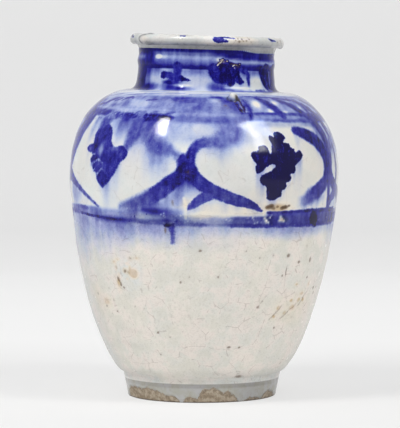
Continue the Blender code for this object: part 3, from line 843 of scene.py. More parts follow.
def paint_stains(canvas):
    """Cream and white grounds, burnt patches and bare chips; painted shade on the left and at the waist."""
    canvas.bands((
        (-146, -36, 10, 0.45), (-24, 40, 6, 0.42, 16, 66, 12), (-24, -16, 2, 0.7, -2, 26, 3),
    ), "warm")
    canvas.patches((
        (-74, -80, 16, 50, -0.7, 3), (-66, 12, 16, 30, -0.5, 3), (-35, -13, 12, 5, 0.25),
        (32.5, -18.8, 9.5, 3.4, 1.9, 3), (-7.5, -16, 3, 3.2, 1.1), (-3, -26, 5, 3, 0.6),
        (16, 7, 12, 14, -0.2), (-36, -65, 10.5, 11, -0.9, 7), (-33, -65.2, 3.6, 3.4, 3.6, 3),
        (-37.4, -63.6, 2.4, 2, 2.2), (-34, -55.4, 2, 1.6, 1.6), (-42.5, -72, 1.6, 3.6, 2.2),
        (-54, -86.5, 4, 3, 1.8), (-62, -84, 6, 9, 0.8), (52, -90, 16, 9, 0.8),
    ), "warm")
    canvas.patch(44, -37, 12, 4, 0.1, layer="shade", power=3)
    # Painted shade: the first two bands darken the lower body's left side, the third the waist all round
    canvas.bands((
        (-130, -40, 24, 0.1, -104, -64, 8), (-130, -50, 24, 0.05, -66, -34, 8), (-150, -137, 3, 0.16),
    ), "shade")
    canvas.patch(4, -40, 22, 8, 0.05, layer="shade", power=3)
    # Painted shade down the lower body's left side
    canvas.band(-140, -32, 8, 0.14, -112, -60, 12, layer="shade")
    canvas.patches(((44, -37, 12, 4, 0.08, 3), (4, -40, 22, 8, 0.05, 3)))
    canvas.patch(-32.6, -65.2, 2.6, 2.2, 0.22, layer="spot")
    for turn, height, wide, tall in (
        (-43.4, -58, 1.7, 0.9), (-41, -56.2, 1.8, 0.8), (-42.6, -62, 0.9, 1.7), (-41.4, -67.4, 0.9, 2.2),
        (-36, -58.6, 1.6, 1), (-34.6, -60.8, 0.9, 1.3), (-30.6, -54.6, 1.6, 0.8), (-36.8, -69.4, 1.2, 0.9),
        (50.5, -73, 1.6, 0.9), (56.5, -80, 1.8, 1.1), (49, -84.5, 1.5, 0.9), (61, -73.5, 1.1, 1.6),
        (55, -84.5, 1.6, 1.2), (59, -84.5, 1.2, 1.4), (51, -90, 1.8, 1.3), (46, -93.5, 1.5, 1.2),
        (41, -89.5, 1.5, 1.5), (39, -95.5, 1.4, 1.2),
    ):
        canvas.patch(turn, height, wide, tall, 1.9, layer="warm")
    canvas.patches((
        (27.8, -18.4, 1.5, 1, 1.6), (29.6, -17.5, 1.6, 1.1, 1.8), (30.8, -19.2, 1.1, 0.6, 0.9),
        (32.6, -18, 0.9, 0.7, 1.4), (35, -19, 1.3, 0.8, 1.7), (36.7, -18.3, 1.5, 0.9, 1.8),
        (38.6, -17.4, 0.9, 0.6, 1.3), (33, -20.4, 4, 0.6, 0.3), (25, -19.6, 1, 0.6, 0.4),
        (41.5, -19.4, 1.2, 0.5, 0.4), (-13, -15.5, 1.3, 1.8, 0.6), (-16.2, -34.6, 1, 2.4, 0.8),
        (9, 52, 3, 2.6, 0.3), (-6.6, 4.6, 1.7, 1.5, 0.42), (-29, -23, 0.7, 0.6, 0.5),
        (-33, -22.4, 0.7, 0.6, 0.4),
    ), "spot")
    canvas.stroke([(-13.4, -31, 1.7), (-13.2, -37, 1.5), (-13.1, -43, 1.1)], (0.94, 0.64), 1.3)
    canvas.stroke([(-16.2, -31, 1.3), (-13, -31, 1.5)], 1.1, 0.8)
    canvas.patch(-14.6, -31, 3.2, 1.6, 0.7, layer="shade", power=3)
    for turn in (28.4, 29.8, 35.2, 36.8):
        canvas.patch(turn, -18.3, 1.2, 0.9, 0.5, layer="shade", power=3)
    canvas.lines((
        (((-13, -17.5), (-11.5, -18.6), (-9.6, -20)), 0.6, 0.35),
        (((13, -22.6), (16, -22.4), (19, -22.8), (22, -22.5), (26, -22.6)), 0.5, 0.42),
    ))
    drip = ((-8.2, -13, 0.8), (-7.6, -17, 1.2), (-7.5, -22, 1), (-7.4, -26, 0.6))
    for turn, height, size in smooth_curve(drip, 1.5):
        canvas.lift(turn, height, size)
    for turn, height, size in (
        (26.8, -25.8, 0.5), (27.6, -27.4, 0.7), (28.6, -28.6, 0.5), (29.2, -25.4, 0.4), (34.6, -25, 0.5),
        (35.2, -26.8, 1), (36.4, -27.6, 0.7), (34, -27.6, 0.4),
    ):
        canvas.patch(turn + 1.4, height + 0.3, size + 0.5, size + 0.5, 0.5, layer="shade")
        canvas.lift(turn, height, size * 1.5)
        canvas.stroke([(turn, height, size * 1.1)], layer="bare")


def paint_pits(canvas):
    """Pinholes, scratches and cracks of the lower body: the front's listed one by one, the rest by chance."""
    canvas.patches((
        (-1.2, -48, 1, 0.8, 0.9), (-21.5, -55.5, 0.7, 0.8, 0.3), (-17.5, -56, 0.7, 0.7, 0.3),
        (-6, -66, 0.9, 0.9, 0.5), (-10, -70, 0.8, 0.8, 0.9), (-42.4, -61.5, 0.8, 2.2, 0.5),
        (-40.4, -66, 0.8, 0.9, 0.5), (-37.6, -64, 1.2, 1.2, 0.8), (-35.6, -64.6, 1, 1.4, 0.4),
        (-42.2, -70, 0.8, 1.4, 0.9), (-41.2, -73.4, 0.7, 1.6, 0.8), (-39.4, -75.6, 0.7, 0.7, 0.7),
        (-34, -55, 1, 1.2, 0.4), (-48, -85, 1, 2, 0.5), (-55, -90, 0.9, 0.9, 0.6), (-47, -93, 1, 0.8, 0.6),
        (-61, -82, 0.8, 1.2, 0.7), (-50, -77, 0.8, 0.8, 0.5), (-27.5, -83, 0.7, 0.7, 0.35),
        (-34.8, -88.5, 0.8, 0.8, 0.45), (-29.5, -89.5, 0.8, 0.8, 0.4), (-31.5, -102, 0.6, 1.3, 0.5),
        (-23.5, -106.5, 0.9, 0.7, 1), (-17, -109.5, 0.9, 0.5, 0.6), (-24, -123, 0.8, 0.8, 0.6),
        (-9, -116, 0.6, 0.9, 0.35), (19.3, -48, 0.8, 0.9, 0.6), (30, -44.5, 1, 0.8, 0.35),
        (26, -53, 0.8, 0.8, 0.7), (33, -51.5, 1, 0.9, 0.5), (15.2, -52.5, 0.8, 1.8, 0.35),
        (41.5, -52, 1.5, 1.2, 0.9), (49, -57, 1.4, 1, 0.9), (57.5, -56, 1, 1.8, 0.9),
        (53, -46, 0.8, 1.8, 0.5), (10, -59, 0.6, 0.8, 0.5), (12, -60.5, 0.8, 0.6, 0.4),
        (7, -66, 0.9, 0.8, 0.8), (14, -66.5, 0.7, 0.7, 0.4), (39.5, -66, 0.8, 0.8, 0.8),
        (35.5, -63, 1, 0.8, 0.35), (22.5, -70, 0.8, 0.8, 0.4), (58, -68.5, 0.9, 1, 0.7),
        (28, -88, 1.2, 1, 0.6), (30, -84, 1, 0.8, 0.3), (68, -77, 1.2, 1.2, 0.8), (72, -77, 1.2, 0.8, 0.6),
        (70, -81, 1, 1.4, 0.7), (53, -97, 1.4, 0.9, 0.4), (41, -104, 0.9, 0.9, 0.7),
        (46.5, -105, 0.8, 0.6, 0.5), (12.5, -102, 0.7, 0.7, 0.5), (5, -90, 0.8, 0.8, 0.4),
        (15, -117, 1.3, 0.8, 0.9), (21, -117.5, 1, 0.8, 0.9), (24, -112, 1, 0.8, 0.35),
        (7.5, -139, 1, 0.9, 0.4), (59, -133, 1.2, 1.2, 0.5), (26, -142, 3, 2, 0.55),
    ), "spot")
    rng = np.random.default_rng(77)
    for turn, height, size, amount in rng.uniform((80, -140, 0.5, 0.2), (280, -34, 0.9, 0.8), (90, 4)):
        canvas.patch(turn, height, size, size, amount, layer="spot")
    for turn, height, size, amount in rng.uniform((-80, -140, 0.4, 0.1), (80, -40, 0.6, 0.4), (110, 4)):
        canvas.patch(turn, height, size, size, amount, layer="spot")
    for turn, height, size in rng.uniform((-180, -140, 3), (180, -34, 9), (60, 3)):
        canvas.patch(turn, height, size * 1.4, size, 0.06, layer="spot")
    canvas.lines((
        (((41.4, -59), (41.6, -65), (42, -75), (45, -83), (47, -88)), 0.55, 0.42),
        (((41.5, -61), (41.5, -66)), 0.6, 0.3),
        (((62, -79), (59.5, -82), (57.5, -86), (55.5, -89)), 0.7, 0.5),
        (((54, -87), (52, -89.6), (49, -91.6), (47.5, -94), (44, -97.5)), 0.7, 0.45),
        (((64.4, -87), (61.4, -91)), 0.7, 0.45),
        (((43, -87.5), (41.6, -90.5), (39.4, -93.6), (36.4, -97.4)), 0.7, 0.46),
        (((33.4, -78), (31, -82), (28.6, -87)), 0.6, 0.25),
        (((-7.5, -86), (-7.2, -91), (-5.6, -96.5)), 0.7, 0.28),
        (((-45, -54), (-43.8, -60), (-43, -67), (-41.4, -73), (-38, -77)), 0.5, 0.3),
        (((-44, -54), (-38, -53), (-33, -55), (-29, -53.6)), 0.5, 0.2),
        (((-29, -54), (-28.4, -62), (-29, -70), (-29.6, -77)), 0.5, 0.16),
        (((8, -137), (12, -139), (17, -141)), 0.7, 0.3), (((-46, -140), (-38, -139), (-30, -140)), 1, 0.18),
    ))
    for turn, height, angle, reach in rng.uniform((88, -132, 0.6, 4), (272, -40, 1.2, 16), (26, 4)):
        tip = (turn + math.degrees(reach * math.cos(angle) / 70), height + reach * math.sin(angle))
        canvas.line(((turn, height), tip), 0.6, 0.4)
    # The last patch darkens the waist crease all round: its dark joint line and painted shade in the crease
    canvas.patches((
        (-40, -108, 9, 2.2, 0.14), (-45, -120, 9, 5, 0.14), (-4, -98, 7, 6, 0.1), (5, -84, 9, 6, 0.06),
        (48, -94, 14, 6, 0.1), (-60, -92, 8, 8, 0.1), (0, -143, 60, 1.6, 0.2),
    ), "spot")


@functools.cache
def body_canvas():
    """The painting of the whole body."""
    along, radius, _ = body_table()
    canvas = Canvas(BODY_LOW, BODY_HIGH, lambda heights: np.interp(heights, along, radius), 0.3, 0.5)
    paint_left_medallion(canvas)
    paint_right_medallion(canvas)
    paint_right_medallion(canvas, 72.0, 1.0, 20)
    paint_left_medallion(canvas, 216.0, 1.0, 40)
    paint_right_medallion(canvas, 216.0, 1.0, 60, edge=False)
    canvas.bleed(6.0, 0.42, 3)
    paint_borders(canvas)
    paint_shoulder(canvas)
    paint_wash_below(canvas)
    canvas.unevenly(0.15, 91)
    paint_stains(canvas)
    paint_pits(canvas)
    return canvas


def paint_neck_ground(canvas):
    """The dark top of the neck, with a paler stripe across it, over a pale ground."""
    canvas.bands((
        (14.9, 31, 0.7, 0.84), (14.9, 31, 0.7, 0.12, 6, 250, 6), (14.9, 31, 0.7, 0.16, -98, -50, 4),
        (26.2, 31, 0.8, 0.12),
    ))
    # The stripe is paler paint round the neck; at the front it is also a painted highlight along the cord
    canvas.lines((
        (((-46, 22.6), (-38, 22.6), (-20, 22.6), (0, 22.4), (12, 22)), 2.6, -0.47),
        (((10, 21.4), (18, 21), (32, 20.3), (48, 20.3), (64, 19.9), (84, 19.9)), 1.7, -0.62),
        (((84, 19.9), (130, 20.8), (180, 21.6), (240, 22), (296, 22.4)), 1.8, -0.4),
    ), "wash")
    canvas.bands((
        (17.8, 20.4, 1, -0.14, -46, 4, 5), (24.8, 26.4, 0.7, -0.14, -50, 4, 5), (0, 16, 1, 0.2),
        (10.4, 15.6, 3, 0.24), (10.4, 15.6, 3, -0.16, -54, -32, 4), (11.4, 15.6, 2.6, 0.18, 36, 64, 5),
        (-1, 2.4, 1.2, -0.04), (-1, 0.9, 0.6, 0.42, 22, 84, 6), (-1, 16, 1.5, 0.34, -62, -52, 2.5),
    ))
    # The first patch darkens the flare's foot on the left; the other two are a painted highlight on the cord
    canvas.patches((
        (-48, 2.2, 6, 2.4, 0.5, 3), (-43.6, 22.8, 3, 1.6, -0.5, 6), (-37.4, 22.6, 2.6, 1.2, -0.2),
    ))
    # Painted shade where the neck meets the shoulder on the left, and down the neck's left edge
    canvas.band(-1, 3.4, 1, 0.6, -110, -62, 4)
    canvas.band(-1, 31, 0.5, 0.16, -104, -60, 6, layer="shade")


def paint_neck_figures(canvas, turn=0.0):
    """The hook, the dark blobs and the drips under the neck's bands, and painted highlights on the flare."""
    canvas.band(-1, 16.4, 0.8, 0.95, -98 + turn, -60 + turn, 2)
    canvas.patch(-60 + turn, 0.5, 10, 3, 0.5, power=3)
    strokes = (
        (((-24.5, 16, 3.4), (-25, 12.5, 3), (-24, 9.4, 2.2)), 0.86, 0.9),
        (((-38, 10.7, 1.9), (-34, 10.3, 2.2), (-29, 9.5, 2.7), (-24, 8.7, 2.6)), 0.88, 0.7),
        (((-37.6, 10.2, 2.4), (-36.6, 10.3, 2.3)), 0.9, 0.5),
        (((-24, 8.9, 2.6), (-19, 8, 1.7), (-16, 7.5, 1), (-13.2, 7, 0.4)), 0.93, 0.5),
        (((5.5, 16, 3), (7, 12, 3.6), (9.5, 8.8, 3.4), (13, 7.6, 2.6)), 0.92, 0.9),
        (((13, 16, 3.6), (14, 11, 3.8), (16, 8, 2.8)), 0.95, 0.8),
        (((20, 17, 3.4), (20.5, 11, 4.2), (20.5, 7, 3.4)), 1, 0.6),
        (((26, 13.5, 2.6), (26, 10, 3), (29, 7.4, 2.2), (31.4, 7, 1.2)), 0.96, 0.5),
        (((30, 16, 2), (32, 13.8, 1), (34.6, 13.6, 0.9)), 0.88, 0.6),
        (((34.8, 15, 1.5), (37, 12.2, 1.6), (37.4, 8.6, 1.4), (37.8, 5.4, 0.6)), 0.84, 0.8),
        (((52.5, 15.6, 2.4), (54.5, 11, 2.6), (57.5, 6.5, 2.4), (60.5, 3, 1.8)), 0.97, 0.6),
        (((60, 15.6, 4.4), (62.5, 10, 3), (66, 4, 2.6)), 0.96, 0.6),
        (((76, 15.6, 4.4), (78, 10, 3.6), (82, 3.4, 3.2)), 0.95, 0.8),
        (((44, 1.2, 0.7), (49, 1, 1), (54, 1.2, 0.8)), 0.6, 0.8), (((60, 1.4, 0.8), (66, 1, 1)), 0.74, 0.7),
    )
    paint_all(canvas, strokes, turn)
    # The patches at -20 and 27 degrees that take wash off are painted highlights on the flare
    canvas.patches((
        (-29, 5.6, 6.4, 1.4, 0.44, 4), (-33, 3, 4, 3.8, 0.46, 4), (-25, 1.8, 6, 2.4, 0.5, 3),
        (-20, 3.6, 6, 0.9, -0.3, 3), (-17, 1.4, 6, 1.2, 0.3, 3), (8, 3, 5, 3, 0.5, 3),
        (19, 2, 8, 1.6, 0.34, 3), (47, 6, 6, 6.4, -0.24, 4), (27, 2.8, 9, 0.8, -0.5, 3),
    ), "wash", turn)
    canvas.curtains(((-56, -40, 16.5, 4.5, 0.3, 3, 141), (-14, 4, 16.5, 3.5, 0.2, 3, 142)), turn)
    # Painted highlights: on the flare at 27 degrees, and a thin painted glint at 66.5 degrees
    canvas.patches(((27, 2.8, 9, 0.8, -0.6, 3), (66.5, 8, 1, 4.6, -0.3, 4)), "ink", turn)


@functools.cache
def neck_canvas():
    """The painting of the neck, in mm above its seat."""
    canvas = Canvas(-1, 30, NECK_RADIUS)
    paint_neck_ground(canvas)
    paint_neck_figures(canvas)
    paint_neck_figures(canvas, 165)
    for turn in range(28, 98, 2):
        canvas.lift(turn, 28.3, 1.5 * float(smoothstep(26, 48, turn)))
    # Painted shade from the rim over the bare top of the neck on the right
    canvas.band(26.6, 31, 0.5, 0.66, 36, 98, 6, layer="shade")
    chips = (
        ((8.8, 17.6, 0.25), (9.8, 18.6, 0.45)), ((10.8, 19.4, 0.5), (12.4, 20.4, 0.4)),
        ((11.6, 21.4, 0.3), (13.6, 21.7, 0.4)), ((16.2, 20.9, 0.25), (17.4, 20.8, 0.3)),
        ((10.6, 16.4, 0.25),), ((22.4, 17.6, 0.3), (24, 18.2, 0.45)), ((26, 18.4, 0.3),),
        ((28.4, 19, 0.25),), ((24.2, 16.4, 0.2),),
    )
    for points in chips:
        canvas.stroke([(turn, height, half + 0.7) for turn, height, half in points], 1, 0.5)
        canvas.stroke(points, layer="bare")
    canvas.patches((
        (10, 20.2, 2.4, 1.4, 0.45), (14.4, 20.4, 1.4, 0.9, 0.5), (23, 18.8, 2.6, 1, 0.45),
        (27, 17.4, 1.4, 0.9, 0.4),
    ), "spot")
    canvas.bleed(3, 0.3, 9)
    canvas.unevenly(0.1, 151)
    return canvas


@functools.cache
def rim_canvas():
    """The painting and painted shade of the rim, in mm outwards over the lip from its mouth."""
    canvas = Canvas(-2, 24, NECK_RADIUS + RIM_OVERHANG)
    for turn in (0, 128, 226):
        for points, ink in (
            (((4.4, 13, 0.7), (6, 14.2, 1.1), (9, 14.8, 0.9), (12.6, 14.4, 0.7), (14, 13.4, 0.5)), 0.9),
            (((5.6, 12.2, 0.9), (9.5, 11.6, 0.7), (14.5, 11.4, 0.6), (20.5, 12, 0.5)), 0.84),
            (((6.5, 12.6, 1.3), (9, 13, 1.4), (12, 13.2, 0.7)), 0.8),
            (((6, 13.8, 0.9), (10, 14.4, 1), (15, 14.5, 0.7)), 0.84),
            (((54, 11.6, 0.5), (56.5, 12.4, 0.9), (60, 13, 0.8), (63, 13.2, 0.4)), 0.96),
            (((-20.6, 11.2, 0.5), (-17, 11.2, 0.6)), 0.78),
        ):
            canvas.stroke(turned_by(points, turn, 0, 0), ink, 0.5)
    for turn, height, size, amount in (
        (-21.5, 13.3, 0.5, 0.7), (-18.5, 13.6, 0.5, 0.6), (-16.2, 13.2, 0.4, 0.5), (21.5, 13.4, 0.8, 0.6),
        (23.4, 12.2, 0.6, 0.8), (24.4, 14.4, 1.1, 0.7), (26.6, 12.6, 0.7, 0.95), (27.8, 14, 0.6, 0.7),
        (30.5, 13.6, 0.9, 0.7), (33, 12.4, 0.6, 0.8), (34.6, 14.2, 0.7, 0.5), (38.5, 15, 1, 0.3),
        (46, 15.8, 1.4, 0.4), (53, 16.2, 1.2, 0.36), (66, 14, 1.2, 0.5), (73, 13, 1.4, 0.55),
        (78, 15, 1.4, 0.5), (-48, 17.6, 2.2, 0.34), (-8, 11.6, 0.6, 0.3), (-33, 12.4, 0.5, 0.35),
    ):
        canvas.patch(turn, height, size, size, amount, layer="spot")
    canvas.patches(((27, 13.5, 8, 2.4, 1.6), (10, 16.6, 14, 1.2, 0.9), (-54, 14, 3, 2, 0.6)), "warm")
    # Bands from mark 12.8 up are painted shade under the roll; those at marks 6 to 15.5 grey the roll's top
    canvas.bands((
        (13.6, 26, 0.9, 0.18), (12.8, 26, 0.7, 0.1, -52, -2, 8), (15.4, 26, 0.9, 0.24),
        (17.6, 26, 0.8, 0.2, -34, 36, 10), (6, 12.5, 1.5, 0.17, -68, -18, 6),
        (9, 15.5, 1.5, 0.18, 22, 66, 6), (18.6, 26, 0.8, 0.16, 4, 40, 10),
    ), "shade")
    # Painted shade in the cove
    canvas.patch(24, 17, 16, 1.2, 0.16, layer="shade", power=3)
    # A painted shadow line under the roll, and painted shade in the crease of the lip's left end
    canvas.lines((
        (((-60, 17.4), (-30, 17.6), (0, 17.2), (20, 17.6), (60, 17.4)), 0.9, 0.16),
        (((-46, 9.4), (-52, 10), (-58, 12), (-60.5, 14.4), (-59, 17)), 0.9, 0.8),
    ), "shade")
    # The lip's left end darker, and painted shade in the notch under it
    canvas.band(7, 17, 1.5, 0.36, -100, -64, 4, layer="shade")
    canvas.patches(((-48, 16.6, 5, 1.6, 0.46), (-54, 18.6, 3.4, 1.6, 0.24)), "shade")
    return canvas


@functools.cache
def foot_canvas():
    """Where the glaze stops on the foot, in mm above the floor, and the foot's painted shade."""
    canvas = Canvas(-2, 16, FOOT_RADIUS)
    edge = np.zeros_like(canvas.turns)
    flat = np.zeros_like(canvas.turns)
    for middle, half, top in (
        (-60, 17, 9.5), (-42, 15, 10.5), (-30, 14, 7), (-8, 8, 4), (7, 12, 10.5), (20, 10, 7),
        (44, 10, 1.6), (64, 12, 6), (112, 22, 11), (140, 14, 7), (175, 22, 12), (235, 24, 10),
    ):
        away = bearing_gap(canvas.turns, middle)
        edge = np.maximum(edge, top * np.clip(1 - (away / half) ** 3, 0, 1))
    edge += 1.8 * drift(canvas.turns, flat, (6, 9), 71, FOOT_RADIUS)
    edge += 1 * drift(canvas.turns, flat, (2.4, 9), 72, FOOT_RADIUS)
    canvas.layers["bare"] = np.clip(edge[None, :] - canvas.heights[:, None], UNPAINTED, 6)
    # Painted contact shadow at the bottom edge, painted shade under the waist in front, darker right side
    canvas.bands((
        (-3, 1.1, 0.5, 0.85), (11, 16, 0.7, 0.22, -60, 60, 20), (1, 14, 2, 0.16, 28, 110, 12),
    ), "shade")
    return canvas


def smooth_share(z, low, high):
    """(share, area): how far z is along a smooth step from low to high, and the step's integral up to z."""
    along = np.clip((z - low) / (high - low), 0.0, 1.0)
    share = along * along * (3 - 2 * along)
    area = (high - low) * (along**3 - along**4 / 2) + np.maximum(0.0, z - high)
    return share, area


def lean_at(z):
    """(angle, shift) of the jar's axis at height z. The foot stays flat on the floor."""
    body_share, body_area = smooth_share(z, 0.0, BELLY_Z)
    neck_share, neck_area = smooth_share(z, SEAT_Z - SHOULDER_WALL, SEAT_Z + NECK_FLARE_HEIGHT)
    angle = BODY_LEAN * body_share + NECK_LEAN * neck_share
    return angle, BODY_LEAN * body_area + NECK_LEAN * neck_area


def out_of_true(points):
    """Where points of the true turned jar lie on the real one: a little oval, and leaning to +X."""
    bearing = np.arctan2(points[:, 1], points[:, 0])
    swell = 1.0 + OUT_OF_ROUND / BELLY_RADIUS * np.cos(2 * (bearing - OVAL_DIRECTION))
    angle, shift = lean_at(points[:, 2])
    x = points[:, 0] * swell
    moved = np.empty_like(points)
    moved[:, 0] = x * np.cos(angle) + shift - lean_at(BELLY_Z)[1]
    moved[:, 1] = points[:, 1] * swell
    moved[:, 2] = points[:, 2] - x * np.sin(angle)
    return moved


def between_ends(heights, low, high, rise, fall):
    """1 between two heights, and 0 at both, so that a section meets its neighbours without a step."""
    return smoothstep(low, low + rise, heights) * smoothstep(-high, fall - high, -heights)


def body_relief(turns, heights, form):
    """How far the body's skin stands proud of its turned outline, in metres."""
    swell = form.swell * drift(turns, heights, (75, 60), 11)
    hump = form.hump * drift(turns, heights, (26, 20), 12)
    wander = drift(turns, heights, (60, 30), 14)
    rings = form.ring_depth * np.sin(heights / 13 * 2 * math.pi + 2 * wander)
    lumpy = smoothstep(20, 60, -heights)
    lumps = 1.2 * drift(turns, heights, (17, 13), 15) + 0.5 * drift(turns, heights, (7, 6), 16)
    hump += lumpy * form.hump * lumps
    relief = swell + hump + rings
    for turn, height, size, depth in (
        (17.2, 60.8, 1, 2), (29, -18, 3, 0.25), (-13.5, -32, 1.8, 0.35), (28, -26.5, 1.8, 0.35),
        (35, -27, 1.7, 0.4), (-41.4, -71.5, 1.6, 0.4), (-37.5, -64, 1.6, 0.3), (41.5, -52, 1.3, 0.3),
        (49, -57, 1.3, 0.3),
    ):
        relief -= depth * MM * blob(turns, heights, turn, height, size)
    relief += KNOB_HEIGHT * np.exp(-((-np.log(blob(turns, heights, 15.9, 62.6, 3, 0.062) + 1e-12)) ** 3))
    relief += 0.75 * MM * blob(turns, heights, 92, 66, 12, 0.06)
    for start, end, size, depth in (
        ((19.4, 58), (19.8, 48.5), 0.9, 0.5), ((17.8, 58), (18.4, 49.6), 1, -0.8),
        ((16.2, 57.6), (17.2, 48.5), 0.8, 0.4), ((-88, 20), (-88, 8), 12, 0.7),
        ((-88, -24), (-88, -36), 10, 0.9), ((-7.6, -86), (-5.6, -96), 1.6, 0.3),
        ((-46, -107), (-34, -108), 2.4, 0.4), ((-50, -118), (-38, -121), 3, 0.45),
        ((62, -79), (55, -89.5), 1, 0.3), ((54, -87), (44, -97.5), 1, 0.3),
        ((43, -87.5), (36.4, -97.4), 1, 0.25),
    ):
        relief -= depth * MM * trough(turns, heights, start, end, size)
    return relief * between_ends(heights, BODY_LOW, BODY_HIGH, 5, 4)


def offsets(turns, heights, turn, height, radius):
    """Distances in mm of skin points from one point, round the jar and up it."""
    away = np.mod(turns - turn + 180.0, 360.0) - 180.0
    return np.radians(away) * radius / MM, heights - height


def blob(turns, heights, turn, height, size, radius=0.085):
    """A soft bump of height 1 at a point of the skin."""
    x, y = offsets(turns, heights, turn, height, radius)
    return np.exp(-(x * x + y * y) / (size * size))


def trough(turns, heights, start, end, size, radius=0.085):
    """A soft groove of depth 1 between two points of the skin."""
    x, y = offsets(turns, heights, start[0], start[1], radius)
    dx, dy = offsets(np.array(end[0]), np.array(end[1]), start[0], start[1], radius)
    along = np.clip((x * dx + y * dy) / (dx * dx + dy * dy), 0.0, 1.0)
    return np.exp(-((x - dx * along) ** 2 + (y - dy * along) ** 2) / (size * size))


def neck_relief(turns, heights, form):
    """Unevenness of the neck, in metres."""
    relief = form.swell * 0.5 * drift(turns, heights, (40.0, 20.0), 21, NECK_RADIUS)
    relief += form.hump * drift(turns, heights, (12.0, 6.0), 22, NECK_RADIUS)
    for turn, height, size in ((11.5, 18.8, 1.4), (15, 21.0, 1.3), (24, 17.2, 1.6)):
        relief -= 0.4 * MM * blob(turns, heights, turn, height, size, NECK_RADIUS)
    return relief * between_ends(heights, 0.0, NECK_HEIGHT / MM, 3.0, 2.0)


def rim_relief(turns, heights, form):
    """Unevenness of the rolled lip, in metres."""
    relief = form.swell * drift(turns, heights, (45.0, 60.0), 31, NECK_RADIUS)
    relief += 0.00016 * drift(turns, heights, (10.0, 5.0), 32, NECK_RADIUS)
    relief += 0.00008 * drift(turns, heights, (3.5, 3.0), 33, NECK_RADIUS)
    relief += 0.5 * MM * blob(turns, heights, -54.0, 13.0, 3.4, NECK_RADIUS)
    relief -= 0.5 * MM * trough(turns, heights, (-50.0, 9.0), (-60.0, 13.0), 1.4, NECK_RADIUS)
    relief -= 0.8 * MM * trough(turns, heights, (-54.0, 19.0), (-45.0, 16.6), 1.5, NECK_RADIUS)
    relief += 0.4 * MM * blob(turns, heights, 82.0, 13.0, 3.0, NECK_RADIUS)
    relief -= 1.2 * MM * blob(turns, heights, 94.0, 18.6, 3.6, NECK_RADIUS)
    return relief * between_ends(heights, 0.0, 21.0, 3.0, 3.0)


def foot_relief(turns, heights, form):
    """The glaze's rolled edge and the rough clay of the foot, in metres."""
    bare = foot_canvas().sample("bare", turns, heights)
    relief = -0.35 * MM * smoothstep(-0.6, 0.6, bare)
    relief += 0.20 * MM * np.exp(-((bare + 0.9) ** 2))
    relief += 0.12 * MM * drift(turns, heights, (5.0, 4.0), 41, FOOT_RADIUS) * smoothstep(0.0, 1.0, bare)
    return relief * between_ends(heights, 0.0, FOOT_HEIGHT / MM, 1.5, 1.5)


def arc(centre_radius, centre_z, radius, start, end, steps):
    """Points on an arc in the outline's plane. Angles are in degrees from +radius towards +Z."""
    turns = np.radians(np.linspace(start, end, steps + 1))
    return np.column_stack([centre_radius + radius * np.cos(turns), centre_z + radius * np.sin(turns)])


def evenly(outline, count):
    """An outline of count points, evenly spaced along the given one."""
    along = lengths(outline)
    wanted = np.linspace(0.0, along[-1], count)
    return np.column_stack([np.interp(wanted, along, outline[:, 0]), np.interp(wanted, along, outline[:, 1])])


def body_skin(low, high, count):
    """(outline, mm above the widest ring) of count points up the body's skin between two of those heights."""
    along, radius, z = body_table()
    wanted = np.linspace(low, high, count)
    outline = np.column_stack([np.interp(wanted, along, radius), np.interp(wanted, along, z)])
    return outline, wanted


def inner_wall(low_z, high_z, low_wall, high_wall, count):
    """Points up the inside of a wall that follows the outer curve, with the ridges that fingers leave."""
    z = np.linspace(low_z, high_z, count)
    rise = 0.0005
    slope = (body_radius(z + rise) - body_radius(z - rise)) / (2 * rise)
    length = np.hypot(1.0, slope)
    share = np.linspace(0.0, 1.0, count)
    wall = low_wall + (high_wall - low_wall) * share
    wall = wall + FINGER_DEPTH * 0.5 * (1 - np.cos(2 * math.pi * (z - low_z) / FINGER_PITCH))
    return np.column_stack([body_radius(z) - wall / length, z + wall * slope / length])


def spun(name, skin, marks, unseen, columns):
    """A section's mesh: its skin and the rest of its outline, spun round the axis.

    Each vertex of the skin keeps its mark, the mm along the skin, and a flag that says it is of the skin.
    """
    outline = np.vstack([skin, unseen])
    on_axis = unseen[-1][0] == 0.0
    shape = bmesh.new()
    mark_layer = shape.verts.layers.float.new("mark")
    skin_layer = shape.verts.layers.float.new("skin")
    verts = [shape.verts.new((0.0, -radius, z)) for radius, z in outline]
    for vert, mark in zip(verts, marks):
        vert[mark_layer] = mark
        vert[skin_layer] = 1.0
    edges = [shape.edges.new(pair) for pair in zip(verts, verts[1:])]
    if not on_axis:
        edges.append(shape.edges.new((verts[-1], verts[0])))
    wedge = 2 * math.pi / WEDGES
    axis = {"cent": (0.0, 0.0, 0.0), "axis": (0.0, 0.0, 1.0)}
    bmesh.ops.spin(shape, geom=verts + edges, angle=wedge, steps=columns // WEDGES, **axis)
    sector = [*shape.verts, *shape.edges, *shape.faces]
    bmesh.ops.spin(
        shape, geom=sector, angle=wedge * (WEDGES - 1), steps=WEDGES - 1, use_duplicate=True, **axis
    )
    bmesh.ops.remove_doubles(shape, verts=shape.verts, dist=MERGE_DISTANCE)
    bmesh.ops.recalc_face_normals(shape, faces=shape.faces)
    mesh = bpy.data.meshes.new(name)
    shape.to_mesh(mesh)
    shape.free()
    return mesh


def read_values(mesh, name):
    """A point attribute, or the positions, of a mesh as an array."""
    if name == "co":
        values = np.empty(len(mesh.vertices) * 3)
        mesh.vertices.foreach_get("co", values)
        return values.reshape(-1, 3)
    values = np.empty(len(mesh.vertices))
    mesh.attributes[name].data.foreach_get("value", values)
    return values


def write_values(mesh, name, values):
    """Keeps one number for each vertex as an attribute."""
    layer = mesh.attributes.get(name) or mesh.attributes.new(name, "FLOAT", "POINT")
    layer.data.foreach_set("value", np.ascontiguousarray(values, dtype=np.float32))


